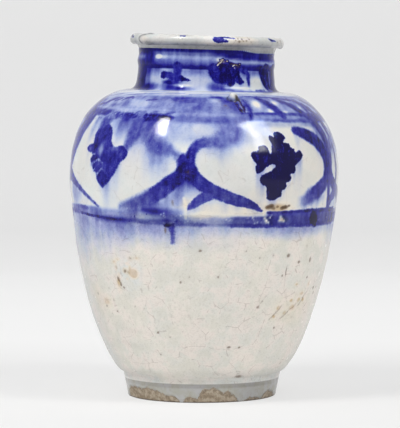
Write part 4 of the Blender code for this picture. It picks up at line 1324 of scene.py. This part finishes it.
def shape_section(mesh, skin, marks, relief, canvas, form):
    """Raises a spun section's relief, paints it and takes it out of true."""
    points = read_values(mesh, "co")
    mark = read_values(mesh, "mark")
    on_skin = read_values(mesh, "skin") > 0.5
    turns = np.degrees(np.arctan2(points[:, 0], -points[:, 1]))
    slope = np.gradient(skin, marks, axis=0)
    slope /= np.hypot(slope[:, 0], slope[:, 1])[:, None]
    outward = np.where(on_skin, relief(turns, mark, form), 0.0)
    out_radius = np.interp(mark, marks, slope[:, 1])
    out_z = -np.interp(mark, marks, slope[:, 0])
    radius = np.hypot(points[:, 0], points[:, 1])
    grown = (radius + outward * out_radius) / np.maximum(radius, TINY)
    points[:, 0] *= grown
    points[:, 1] *= grown
    points[:, 2] += outward * out_z
    mesh.vertices.foreach_set("co", out_of_true(points).astype(np.float32).ravel())
    for layer in canvas.layers:
        unpainted = UNPAINTED if layer in ("inside", "bare") else 0.0
        write_values(mesh, layer, np.where(on_skin, canvas.sample(layer, turns, mark), unpainted))
    mesh.attributes.remove(mesh.attributes["mark"])
    mesh.attributes.remove(mesh.attributes["skin"])
    mesh.shade_smooth()
    mesh.set_sharp_from_angle(angle=SHARP_ANGLE)
    mesh.update()


def joined(operation, swapped=False):
    """A wire's method that joins it to another wire or number in a Math node."""

    def method(self, other):
        return self.math(operation, other, self) if swapped else self.math(operation, self, other)

    return method


class Wire:
    """One number that flows through a finish. Sums and products of wires become Math nodes."""

    def __init__(self, finish, socket):
        self.finish = finish
        self.socket = socket

    def math(self, operation, *values):
        return self.finish.add("ShaderNodeMath", {"operation": operation}, dict(enumerate(values)))

    __add__ = joined("ADD")
    __radd__ = joined("ADD", True)
    __sub__ = joined("SUBTRACT")
    __rsub__ = joined("SUBTRACT", True)
    __mul__ = joined("MULTIPLY")
    __rmul__ = joined("MULTIPLY", True)
    __truediv__ = joined("DIVIDE")
    lowest = joined("MINIMUM")
    highest = joined("MAXIMUM")

    def step(self, low, high):
        """0 below low, 1 above high, and a smooth rise between them."""
        settings = {"interpolation_type": "SMOOTHSTEP", "clamp": True}
        inputs = {"Value": self, "From Min": low, "From Max": high}
        return self.finish.add("ShaderNodeMapRange", settings, inputs)


class Finish:
    """A material as it is built, node by node."""

    def __init__(self, name):
        self.material = bpy.data.materials.new(name)
        self.material.use_nodes = True
        self.tree = self.material.node_tree
        self.tree.nodes.clear()
        self.place = self.add("ShaderNodeTexCoord", output="Object")

    def add(self, kind, settings=None, inputs=None, output=0):
        """Adds a node: its settings first, then its sockets' values or links. Returns one of its outputs."""
        node = self.tree.nodes.new(kind)
        for name, value in (settings or {}).items():
            if name == "stops":
                set_stops(node.color_ramp, value)
            else:
                setattr(node, name, value)
        for name, value in (inputs or {}).items():
            if isinstance(value, Wire):
                self.tree.links.new(value.socket, node.inputs[name])
            else:
                node.inputs[name].default_value = value
        return None if output is None else Wire(self, node.outputs[output])

    def layer(self, name):
        """A painted layer of the skin."""
        return self.add("ShaderNodeAttribute", {"attribute_name": name}, output="Fac")

    def bent(self, size, amount):
        """The object's coordinates, bent to and fro by about amount metres."""
        inputs = {"Vector": self.place, "Scale": 1.0 / size, "Detail": 2.0}
        bend = self.add("ShaderNodeTexNoise", None, inputs, "Color")
        inputs = {0: bend, 1: (amount,) * 3, 2: self.place}
        return self.add("ShaderNodeVectorMath", {"operation": "MULTIPLY_ADD"}, inputs)

    def noise(self, size, detail=2.0, stretch=(1.0, 1.0, 1.0), roughness=0.5):
        """Noise whose features are about size metres across, longer where stretch is under 1."""
        place = self.add("ShaderNodeMapping", inputs={"Vector": self.place, "Scale": stretch})
        inputs = {"Vector": place, "Scale": 1.0 / size, "Detail": detail, "Roughness": roughness}
        return self.add("ShaderNodeTexNoise", None, inputs)

    def cells(self, size, feature):
        """Distances in a pattern of crooked cells about size metres across, in cells."""
        inputs = {"Vector": self.bent(size, size * 0.35), "Scale": 1.0 / size}
        return self.add("ShaderNodeTexVoronoi", {"feature": feature}, inputs)

    def blend(self, share, first, second, mode="MIX"):
        """Mixes two colours, each a wire or (red, green, blue)."""
        first, second = (part if isinstance(part, Wire) else (*part, 1.0) for part in (first, second))
        settings = {"data_type": "RGBA", "blend_type": mode, "clamp_result": False}
        return self.add("ShaderNodeMix", settings, {0: share, 6: first, 7: second}, 2)

    def surface(self, **inputs):
        """Ends the material in a Principled shader."""
        shader = self.add("ShaderNodeBsdfPrincipled", None, inputs)
        self.add("ShaderNodeOutputMaterial", None, {"Surface": shader}, None)
        return self.material


def set_stops(ramp, stops):
    """Gives a colour ramp its (position, colour) stops."""
    while len(ramp.elements) < len(stops):
        ramp.elements.new(0.5)
    for element, (position, colour) in zip(ramp.elements, stops):
        element.position = position
        element.color = (*colour, 1.0)


COBALT_STOPS = (
    (0.00, (1.0, 1.0, 1.0)),
    (0.15, (0.73, 0.79, 0.99)),
    (0.30, (0.45, 0.53, 0.90)),
    (0.48, (0.215, 0.262, 0.680)),
    (0.64, (0.092, 0.104, 0.510)),
    (0.78, (0.032, 0.030, 0.420)),
    (0.90, (0.013, 0.010, 0.290)),
    (1.00, (0.007, 0.004, 0.078)),
)


def glaze_finish(name, colours, ground, gloss=0.16, pitting=1.0, aged=0.0, shine=0.28):
    """Cobalt under a clear glaze: strokes, wash, crackle, pinholes, stains, bare chips and painted shade."""
    finish = Finish(name)
    grain = finish.noise(0.0011, 3.0)
    mottle = finish.noise(0.0040, 3.0)
    blotch = finish.noise(0.0110, 4.0, roughness=0.6)
    cloud = finish.noise(0.0260, 3.0)
    streak = finish.noise(0.0028, 3.0, (1.0, 1.0, 0.10))

    depth = finish.layer("inside") + (grain - 0.5) * 1.5 + (mottle - 0.5) * 1.5
    line = (depth / finish.layer("blur")).step(-1.0, 1.0)
    worn = grain.step(0.54, 0.68) * cloud.step(0.38, 0.56) * 0.26
    load = 1.0 + (mottle - 0.5) * 0.56 + (streak - 0.5) * 0.44 + (grain - 0.5) * 0.44 - worn
    ink = finish.layer("ink") * load
    wash = finish.layer("wash").highest(0.0).lowest(1.0)
    patchy = (streak - 0.5) * 0.55 + (mottle - 0.5) * 0.80 + (grain - 0.5) * 0.45
    wash = wash * (0.94 + patchy * (1.0 - wash * 0.80))
    cobalt = line * ink + (1 - line) * wash
    tone = finish.add("ShaderNodeValToRGB", {"stops": COBALT_STOPS}, {"Fac": cobalt}, "Color")

    warm = finish.layer("warm") + (cloud - 0.5) * 0.5 + (blotch - 0.5) * 0.4
    cool = finish.blend(cloud.step(0.35, 0.65), ground, colours.cool_glaze)
    cream = finish.blend(warm.step(0.0, 1.0), cool, colours.cream)
    tan = finish.blend(warm.step(1.1, 2.4), cream, (0.58, 0.44, 0.26))
    rosy = finish.blend(blotch.step(0.46, 0.60) * (0.50 * aged), tan, (0.84, 0.755, 0.71))
    greenish = (1 - (blotch + (mottle - 0.5) * 0.5).step(0.36, 0.50)) * (0.42 * aged)
    mossy = finish.blend(greenish, rosy, (0.665, 0.645, 0.565))
    dirt = (grain.step(0.50, 0.68) * 0.13 + mottle.step(0.52, 0.66) * 0.08) * (0.25 + 0.75 * aged)
    base = finish.blend(dirt, mossy, (0.24, 0.20, 0.16))
    painted = finish.blend(1.0, base, tone, "MULTIPLY")

    wide_crack = 1 - finish.cells(0.0150, "DISTANCE_TO_EDGE").step(0.0, 0.022)
    fine_crack = 1 - finish.cells(0.0060, "DISTANCE_TO_EDGE").step(0.0, 0.040)
    crackle = wide_crack * (mottle + blotch).step(0.96, 1.12)
    crackle = crackle + fine_crack * blotch.step(0.52, 0.66) * 0.3 * aged
    pinhole = (1 - finish.cells(0.0060, "F1").step(0.020, 0.055)) * cloud.step(0.48, 0.62) * pitting
    spot = finish.layer("spot")
    pit = (spot + (grain - 0.5) * 0.40).step(0.26, 0.62)
    stain = crackle * (1 - cobalt).highest(0.0) * (0.12 + 0.17 * aged) + pinhole * 0.45
    stain = (stain + spot * (0.10 + mottle * 0.4) + pit * 0.50).lowest(1.0)
    stained = finish.blend(stain, painted, colours.rust)
    # Shade layer: greys burnt cobalt and stains, and is painted shade under the lip and down the left side
    dulling_and_shade = finish.layer("shade") * (0.70 + mottle * 0.60)
    shaded = finish.blend(dulling_and_shade, stained, (0.26, 0.27, 0.30), "MULTIPLY")
    bare = (finish.layer("bare") + (grain - 0.5) * 0.8).step(-0.25, 0.25)
    chip = finish.blend(mottle.step(0.4, 0.6), (0.88, 0.87, 0.85), (0.50, 0.44, 0.38))
    chipped = finish.blend(bare, shaded, chip)

    rough = gloss + (mottle - 0.5) * 0.08 + bare * 0.5
    dimples = (mottle - 0.5) * 0.6 + (grain - 0.5) * 0.25 + (blotch - 0.5) * (1.2 * aged)
    peel = dimples - crackle * 0.2 - bare * 1.0
    bump = finish.add("ShaderNodeBump", None, {"Strength": 0.5, "Distance": 0.00016, "Height": peel})
    return finish.surface(
        **{"Base Color": chipped, "Roughness": rough, "Normal": bump, "Specular IOR Level": shine}
    )


def clay_finish(name, colours):
    """Bare gritty clay, with pale glaze where it ran down over the foot, and painted shade."""
    finish = Finish(name)
    grain = finish.noise(0.0010, 4.0)
    mottle = finish.noise(0.0034, 4.0, roughness=0.65)
    cloud = finish.noise(0.0090, 3.0)
    ragged = finish.layer("bare") + (grain - 0.5) * 3.4 + (mottle - 0.5) * 7.0
    bare = ragged.step(-0.6, 0.6)
    seam = bare * (1 - ragged.step(0.6, 2.6))
    clay = finish.blend(mottle.step(0.38, 0.62), colours.clay, (0.46, 0.39, 0.30))
    grit = finish.blend(grain.step(0.54, 0.72) * 0.55, clay, (0.13, 0.10, 0.07))
    rim = finish.blend(seam * 0.35, grit, (0.16, 0.12, 0.08))
    glaze = finish.blend(cloud.step(0.38, 0.62), (0.45, 0.45, 0.455), (0.42, 0.415, 0.375))
    stain = mottle.step(0.50, 0.66) * 0.34 + grain.step(0.56, 0.70) * 0.22
    grubby = finish.blend(stain, glaze, (0.34, 0.30, 0.23))
    dressed = finish.blend(bare, grubby, rim)
    # Painted shade: a near-black contact shadow along the foot's bottom edge, and shade under the waist
    colour = finish.blend(finish.layer("shade"), dressed, (0.07, 0.055, 0.045))
    rough = 0.26 + bare * 0.6
    height = (grain - 0.5) * (0.3 + bare * 1.4) + (mottle - 0.5) * 0.8 - bare * 0.6
    bump = finish.add("ShaderNodeBump", None, {"Strength": 0.6, "Distance": 0.0003, "Height": height})
    return finish.surface(**{"Base Color": colour, "Roughness": rough, "Normal": bump})


def place_section(context, mesh, name, material):
    """Puts a finished section in the scene, in place of the solid of its name."""
    mesh.materials.append(material)
    piece = bpy.data.objects.new(name, mesh)
    context.scene.collection.objects.link(piece)
    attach(piece, "root")
    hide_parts(name.removeprefix("glazed_"))
    return piece


def make_section(context, name, outline, columns, relief, canvas, finish):
    """Spins, shapes, paints and places a section. Its outline is skin, marks and what isn't skin."""
    skin, marks, unseen = outline
    mesh = spun(name, skin, marks, unseen, columns)
    shape_section(mesh, skin, marks, relief, canvas, context.scene.jar_form)
    place_section(context, mesh, name, finish)


class JAR_OT_foot_ring(bpy.types.Operator):
    """Turn the foot ring, with the glaze stopping unevenly over bare clay"""

    bl_idname = "jar.foot_ring"
    bl_label = "Foot Ring"

    def execute(self, context):
        form = context.scene.jar_form
        inner_bottom = FOOT_RADIUS - FOOT_WALL
        edge = arc(FOOT_RADIUS - FOOT_EDGE, FOOT_EDGE, FOOT_EDGE, -90.0, 0.0, EDGE_STEPS)
        skin = evenly(np.vstack([edge, [[FOOT_TOP_RADIUS, FOOT_HEIGHT]]]), FOOT_ROWS)
        marks = lengths(skin)
        inner_edge = arc(inner_bottom + FOOT_EDGE, FOOT_EDGE, FOOT_EDGE, 180.0, 270.0, EDGE_STEPS)
        unseen = np.vstack([[[inner_bottom - FOOT_INNER_TAPER, FOOT_HEIGHT]], inner_edge])
        clay = clay_finish("foot_clay", context.scene.jar_colours)
        make_section(
            context, "glazed_foot_ring", (skin, marks, unseen), form.neck_columns,
            foot_relief, foot_canvas(), clay,
        )
        return {"FINISHED"}


class JAR_OT_lower_body(bpy.types.Operator):
    """Turn the bowl of the jar, from the foot up to the girth seam"""

    bl_idname = "jar.lower_body"
    bl_label = "Lower Body"

    def execute(self, context):
        form = context.scene.jar_form
        colours = context.scene.jar_colours
        skin, marks = body_skin(BODY_LOW, GIRTH_MM, LOWER_ROWS)
        wall = inner_wall(WAIST_Z, GIRTH_Z, LOWER_WALL, GIRTH_WALL, LOWER_WALL_ROWS)
        wall = wall[wall[:, 1] > FLOOR_Z + FINGER_DEPTH][::-1]
        corner = wall[-1][0] - LOWER_WALL / 2
        floor = [[corner, FLOOR_Z], [0.0, FLOOR_Z]]
        under = [[0.0, FOOT_HEIGHT]]
        skin = np.vstack([under, skin])
        marks = np.concatenate([[BODY_LOW - FOOT_TOP_RADIUS / MM], marks])
        unseen = np.vstack([wall, floor])
        glaze = glaze_finish("white_glaze", colours, colours.bowl_glaze, 0.26, aged=1.0)
        make_section(
            context, "glazed_lower_body", (skin, marks, unseen), form.columns,
            body_relief, body_canvas(), glaze,
        )
        return {"FINISHED"}


class JAR_OT_upper_body(bpy.types.Operator):
    """Turn the shoulder of the jar, with the painted medallions"""

    bl_idname = "jar.upper_body"
    bl_label = "Upper Body"

    def execute(self, context):
        form = context.scene.jar_form
        colours = context.scene.jar_colours
        skin, marks = body_skin(GIRTH_MM, BODY_HIGH, UPPER_ROWS)
        crown_z = SEAT_Z - SHOULDER_WALL
        wall = inner_wall(GIRTH_Z, SEAT_Z, GIRTH_WALL, SHOULDER_WALL, UPPER_WALL_ROWS)
        wall = wall[(wall[:, 1] < crown_z) & (wall[:, 0] > MOUTH_RADIUS + SHOULDER_WALL)][::-1]
        mouth = [[MOUTH_RADIUS, SEAT_Z], [MOUTH_RADIUS, crown_z + MOUTH_ROUND]]
        mouth.append([MOUTH_RADIUS + MOUTH_ROUND, crown_z])
        unseen = np.vstack([mouth, wall])
        glaze = glaze_finish("cobalt_painted_glaze", colours, colours.glaze, 0.09, 0.4, 0.25)
        make_section(
            context, "glazed_upper_body", (skin, marks, unseen), form.columns,
            body_relief, body_canvas(), glaze,
        )
        return {"FINISHED"}


class JAR_OT_neck(bpy.types.Operator):
    """Turn the collar, on its coved flare, with the raised cord below the rim"""

    bl_idname = "jar.neck"
    bl_label = "Neck"

    def execute(self, context):
        form = context.scene.jar_form
        colours = context.scene.jar_colours
        flare_top = SEAT_Z + NECK_STEP + NECK_FLARE_HEIGHT
        turns = np.linspace(0.0, math.pi / 2, FLARE_POINTS)
        flare_radius = FLARE_RADIUS - NECK_FLARE * np.sin(turns) ** FLARE_POWER
        flare = np.column_stack([flare_radius, flare_top - (flare_top - SEAT_Z) * np.cos(turns)])
        z = np.linspace(flare_top, NECK_TOP_Z, COLLAR_POINTS)[1:]
        above = (z - SEAT_Z) / MM
        crest = 1.0 - smoothstep(CREST_Z, CREST_Z + CREST_SLOPE, above)
        fall = 1.0 - smoothstep(CREST_Z - CREST_FALL, CREST_Z, above)
        collar = NECK_CORD_PROUD * (crest - fall) - COLLAR_SETBACK * (1.0 - crest)
        waist = NECK_WAIST * np.sin(np.clip((z - flare_top) / (NECK_TOP_Z - flare_top), 0.0, 1.0) * math.pi)
        wall = np.column_stack([NECK_RADIUS - waist + collar, z])
        skin = evenly(np.vstack([flare, wall]), NECK_ROWS)
        # The marks have to rise from point to point, also where the flare is level
        marks = (skin[:, 1] - SEAT_Z) / MM
        marks += np.linspace(0.0, 1e-3, len(marks))
        unseen = np.array([[MOUTH_RADIUS, z] for z in (NECK_TOP_Z, (NECK_TOP_Z + SEAT_Z) / 2, SEAT_Z)])
        glaze = glaze_finish("cobalt_neck_glaze", colours, colours.glaze, 0.09, 0.3, shine=0.10)
        make_section(
            context, "glazed_neck", (skin, marks, unseen), form.neck_columns,
            neck_relief, neck_canvas(), glaze,
        )
        return {"FINISHED"}


class JAR_OT_rim(bpy.types.Operator):
    """Turn the fat rolled lip that overhangs the neck"""

    bl_idname = "jar.rim"
    bl_label = "Rim"

    def execute(self, context):
        form = context.scene.jar_form
        colours = context.scene.jar_colours
        roll_radius = NECK_RADIUS + RIM_OVERHANG - RIM_ROLL
        mouth_z = RIM_TOP_Z - MOUTH_ROUND
        mouth = arc(MOUTH_RADIUS + MOUTH_ROUND, mouth_z, MOUTH_ROUND, 180.0, 90.0, MOUTH_STEPS)
        roll = arc(roll_radius, RIM_TOP_Z - RIM_ROLL, RIM_ROLL, 90.0, ROLL_END, ROLL_STEPS)
        under = NECK_RADIUS - COLLAR_SETBACK
        cove = [[under + COVE_OVERHANG, RIM_TOP_Z - COVE_DROP], [under, NECK_TOP_Z]]
        skin = evenly(np.vstack([mouth, roll, cove]), RIM_ROWS)
        marks = lengths(skin)
        unseen = np.array([[MOUTH_RADIUS, NECK_TOP_Z]])
        glaze = glaze_finish("rim_glaze", colours, colours.rim, 0.20, 0.6, 0.7)
        make_section(
            context, "glazed_rim", (skin, marks, unseen), form.neck_columns,
            rim_relief, rim_canvas(), glaze,
        )
        return {"FINISHED"}


# Image size and camera of the view, in pixels
IMAGE_WIDTH = 400
IMAGE_HEIGHT = 428
FOCAL_PIXELS = 2806.0
AXIS_PIXEL = 204.0
SENSOR = 36.0

# What the lights face
LIGHT_AIM = np.array([0.0, 0.0, 0.15])

SWEEP_START = 1.10
SWEEP_RADIUS = 0.60
SWEEP_STEPS = 24
SWEEP_HALF_WIDTH = 1.60
FLOOR_REACH = 4.0
BACKDROP_TOP = 3.0

# The ground's greys start this far before the jar and span this reach, and run faster up the backdrop
GREYS_START = 0.2
GREYS_SPAN = 3.2
BACKDROP_PACE = 3.0

# How much of the shadow on the ground the camera sees
SHADOW_SEEN = 0.38


def place_camera(context, stage):
    """The camera at the photograph's angle. The jar stands a little to the right of the frame's middle."""
    camera = bpy.data.cameras.new("camera")
    camera.sensor_width = SENSOR
    camera.lens = FOCAL_PIXELS / IMAGE_HEIGHT * SENSOR
    camera.clip_end = 50.0
    holder = bpy.data.objects.new("camera", camera)
    aside = (IMAGE_WIDTH / 2 - AXIS_PIXEL) / FOCAL_PIXELS * stage.camera_distance
    holder.location = (aside, -stage.camera_distance, stage.camera_height)
    holder.rotation_euler = (math.pi / 2 - stage.camera_tilt, 0.0, 0.0)
    context.scene.collection.objects.link(holder)
    context.scene.camera = holder


def place_light(context, name, bearing, elevation, distance, size, power, colour, roll=0.0, unlit=None):
    """A rectangular light that faces the jar's middle. Bearing is from the camera, + to +X.

    Unlit names the kind of ray that the light is hidden from.
    """
    light = bpy.data.lights.new(name, "AREA")
    light.shape = "RECTANGLE"
    light.size, light.size_y = size
    light.energy = power
    light.color = colour
    holder = bpy.data.objects.new(name, light)
    turn = math.radians(bearing)
    rise = math.radians(elevation)
    away = np.array([math.sin(turn) * math.cos(rise), -math.cos(turn) * math.cos(rise), math.sin(rise)])
    holder.location = LIGHT_AIM + away * distance
    facing = Euler((math.pi / 2 - rise, 0.0, turn)).to_matrix() @ Matrix.Rotation(math.radians(roll), 3, "Z")
    holder.rotation_euler = facing.to_euler()
    context.scene.collection.objects.link(holder)
    if unlit:
        setattr(holder, "visible_" + unlit, False)


def floor_finish():
    """A plain pale ground. The camera sees a set grey under the jar's shadow, and sees through its back."""
    finish = Finish("pale_ground")
    back = finish.add("ShaderNodeSeparateXYZ", None, {"Vector": finish.place}, "Y")
    height = finish.add("ShaderNodeSeparateXYZ", None, {"Vector": finish.place}, "Z")
    along = (back + height * BACKDROP_PACE + GREYS_START) / GREYS_SPAN
    greys = (
        (0.0, 0.855), (0.045, 0.868), (0.09, 0.884), (0.141, 0.893), (0.18, 0.935), (0.26, 0.957),
        (0.33, 0.96), (0.39, 0.946), (0.44, 0.907), (0.5, 0.858), (0.6, 0.868), (0.8, 0.867), (1.0, 0.9),
    )
    stops = [(place, (grey, grey, grey)) for place, grey in greys]
    grey = finish.add("ShaderNodeValToRGB", {"stops": stops}, {"Fac": along}, "Color")
    seen = finish.add("ShaderNodeEmission", None, {"Color": grey, "Strength": 1.0})
    shaded = finish.add("ShaderNodeBsdfDiffuse", None, {"Color": grey})
    watched = finish.add("ShaderNodeMixShader", None, {0: SHADOW_SEEN, 1: seen, 2: shaded})
    lit = finish.add("ShaderNodeBsdfDiffuse", None, {"Color": (0.92, 0.92, 0.92, 1.0)})
    rays = finish.add("ShaderNodeLightPath", output="Is Camera Ray")
    for kind in ("Is Glossy Ray", "Is Transmission Ray"):
        rays = rays.highest(finish.add("ShaderNodeLightPath", output=kind))
    mixed = finish.add("ShaderNodeMixShader", None, {0: rays, 1: lit, 2: watched})
    behind = finish.add("ShaderNodeNewGeometry", output="Backfacing")
    behind = behind * finish.add("ShaderNodeLightPath", output="Is Camera Ray")
    clear = finish.add("ShaderNodeBsdfTransparent")
    one_sided = finish.add("ShaderNodeMixShader", None, {0: behind, 1: mixed, 2: clear})
    finish.add("ShaderNodeOutputMaterial", None, {"Surface": one_sided}, None)
    return finish.material


class JAR_OT_stage(bpy.types.Operator):
    """Set the camera, the eight soft lights, the plain sky and the swept pale ground"""

    bl_idname = "jar.stage"
    bl_label = "Stage"

    def execute(self, context):
        stage = context.scene.jar_stage
        place_camera(context, stage)
        warm = (1.0, 0.99, 0.97)
        cool = (0.94, 0.96, 1.0)
        for light in (
            ("key", -47.0, 48.0, 1.6, (0.22, 0.74), stage.key_power, warm, 22.0),
            ("glint", -47.0, 48.0, 1.58, (0.18, 0.60), 12.0, (1.0, 1.0, 1.0), 22.0, "diffuse"),
            ("low_window", 52.0, 29.0, 1.8, (0.25, 0.42), 3.4, cool, 0.0, "diffuse"),
            ("window", 52.0, 46.0, 1.8, (0.23, 0.70), stage.window_power, warm),
            ("shaded_window", 67.0, 44.0, 1.8, (0.40, 0.70), 9.0, (0.22, 0.42, 1.0), 0.0, "diffuse"),
            ("sheen", 47.0, 38.0, 1.8, (1.20, 1.20), 10.0, (0.88, 0.91, 1.0), 0.0, "diffuse"),
            ("fill", 50.0, 40.0, 1.8, (1.30, 1.13), stage.fill_power, (1.0, 0.985, 0.965), 0.0, "glossy"),
            ("bounce", -95.0, 32.0, 1.5, (1.0, 1.0), 2.8, warm, 0.0, "glossy"),
        ):
            place_light(context, *light)
        self.make_ground(context)
        self.make_sky(context, stage)
        context.scene.view_settings.view_transform = "Standard"
        return {"FINISHED"}

    def make_ground(self, context):
        """A floor that sweeps up into a backdrop behind the jar."""
        curve = arc(SWEEP_START, SWEEP_RADIUS, SWEEP_RADIUS, -90.0, 0.0, SWEEP_STEPS)
        line = np.vstack([[[-FLOOR_REACH, 0.0]], curve, [[SWEEP_START + SWEEP_RADIUS, BACKDROP_TOP]]])
        shape = bmesh.new()
        verts = [shape.verts.new((-SWEEP_HALF_WIDTH, y, z)) for y, z in line]
        edges = [shape.edges.new(pair) for pair in zip(verts, verts[1:])]
        drawn = bmesh.ops.extrude_edge_only(shape, edges=edges)
        moved = [part for part in drawn["geom"] if isinstance(part, bmesh.types.BMVert)]
        bmesh.ops.translate(shape, verts=moved, vec=(2 * SWEEP_HALF_WIDTH, 0.0, 0.0))
        bmesh.ops.recalc_face_normals(shape, faces=shape.faces)
        shape.faces.ensure_lookup_table()
        if shape.faces[0].normal.z < 0.0:
            bmesh.ops.reverse_faces(shape, faces=shape.faces)
        mesh = bpy.data.meshes.new("ground")
        shape.to_mesh(mesh)
        shape.free()
        mesh.shade_smooth()
        mesh.materials.append(floor_finish())
        ground = bpy.data.objects.new("ground", mesh)
        context.scene.collection.objects.link(ground)

    def make_sky(self, context, stage):
        """A plain sky that lights evenly, and looks paler than it lights."""
        world = bpy.data.worlds.new("sky")
        world.use_nodes = True
        tree = world.node_tree
        tree.nodes.clear()
        rays = tree.nodes.new("ShaderNodeLightPath")
        mixed = tree.nodes.new("ShaderNodeMixShader")
        share = None
        for kind in ("Is Camera Ray", "Is Glossy Ray", "Is Transmission Ray"):
            either = tree.nodes.new("ShaderNodeMath")
            either.operation = "MAXIMUM"
            either.inputs[1].default_value = 0.0
            tree.links.new(rays.outputs[kind], either.inputs[0])
            if share:
                tree.links.new(share, either.inputs[1])
            share = either.outputs[0]
        tree.links.new(share, mixed.inputs[0])
        for number, strength in enumerate((stage.sky, stage.sky_seen), 1):
            sky = tree.nodes.new("ShaderNodeBackground")
            sky.inputs["Color"].default_value = (0.97, 0.985, 1.0, 1.0)
            sky.inputs["Strength"].default_value = strength
            tree.links.new(sky.outputs[0], mixed.inputs[number])
        out = tree.nodes.new("ShaderNodeOutputWorld")
        tree.links.new(mixed.outputs[0], out.inputs["Surface"])
        context.scene.world = world


OPERATORS = (JAR_OT_foot_ring, JAR_OT_lower_body, JAR_OT_upper_body, JAR_OT_neck, JAR_OT_rim, JAR_OT_stage)


class JAR_PT_panel(bpy.types.Panel):
    """The jar's sections and stage, in the order in which they are made"""

    bl_label = "Baluster Jar"
    bl_idname = "JAR_PT_panel"
    bl_space_type = "VIEW_3D"
    bl_region_type = "UI"
    bl_category = "Jar"

    def draw(self, context):
        for group in (context.scene.jar_form, context.scene.jar_colours, context.scene.jar_stage):
            box = self.layout.box()
            for name in group.bl_rna.properties.keys():
                if name not in ("rna_type", "name"):
                    box.prop(group, name)
        for operator in OPERATORS:
            self.layout.operator(operator.bl_idname)


CLASSES = (JarForm, JarColours, JarStage, *OPERATORS, JAR_PT_panel)


def register():
    """Adds the classes and the jar's settings."""
    for item in CLASSES:
        bpy.utils.register_class(item)
    bpy.types.Scene.jar_form = bpy.props.PointerProperty(type=JarForm)
    bpy.types.Scene.jar_colours = bpy.props.PointerProperty(type=JarColours)
    bpy.types.Scene.jar_stage = bpy.props.PointerProperty(type=JarStage)


def unregister():
    """Takes the settings and the classes away again."""
    del bpy.types.Scene.jar_stage
    del bpy.types.Scene.jar_colours
    del bpy.types.Scene.jar_form
    for item in reversed(CLASSES):
        bpy.utils.unregister_class(item)


def main():
    """Makes the jar and its stage."""
    register()
    bpy.ops.jar.foot_ring()
    bpy.ops.jar.lower_body()
    bpy.ops.jar.upper_body()
    bpy.ops.jar.neck()
    bpy.ops.jar.rim()
    bpy.ops.jar.stage()


if __name__ == "__main__":
    main()
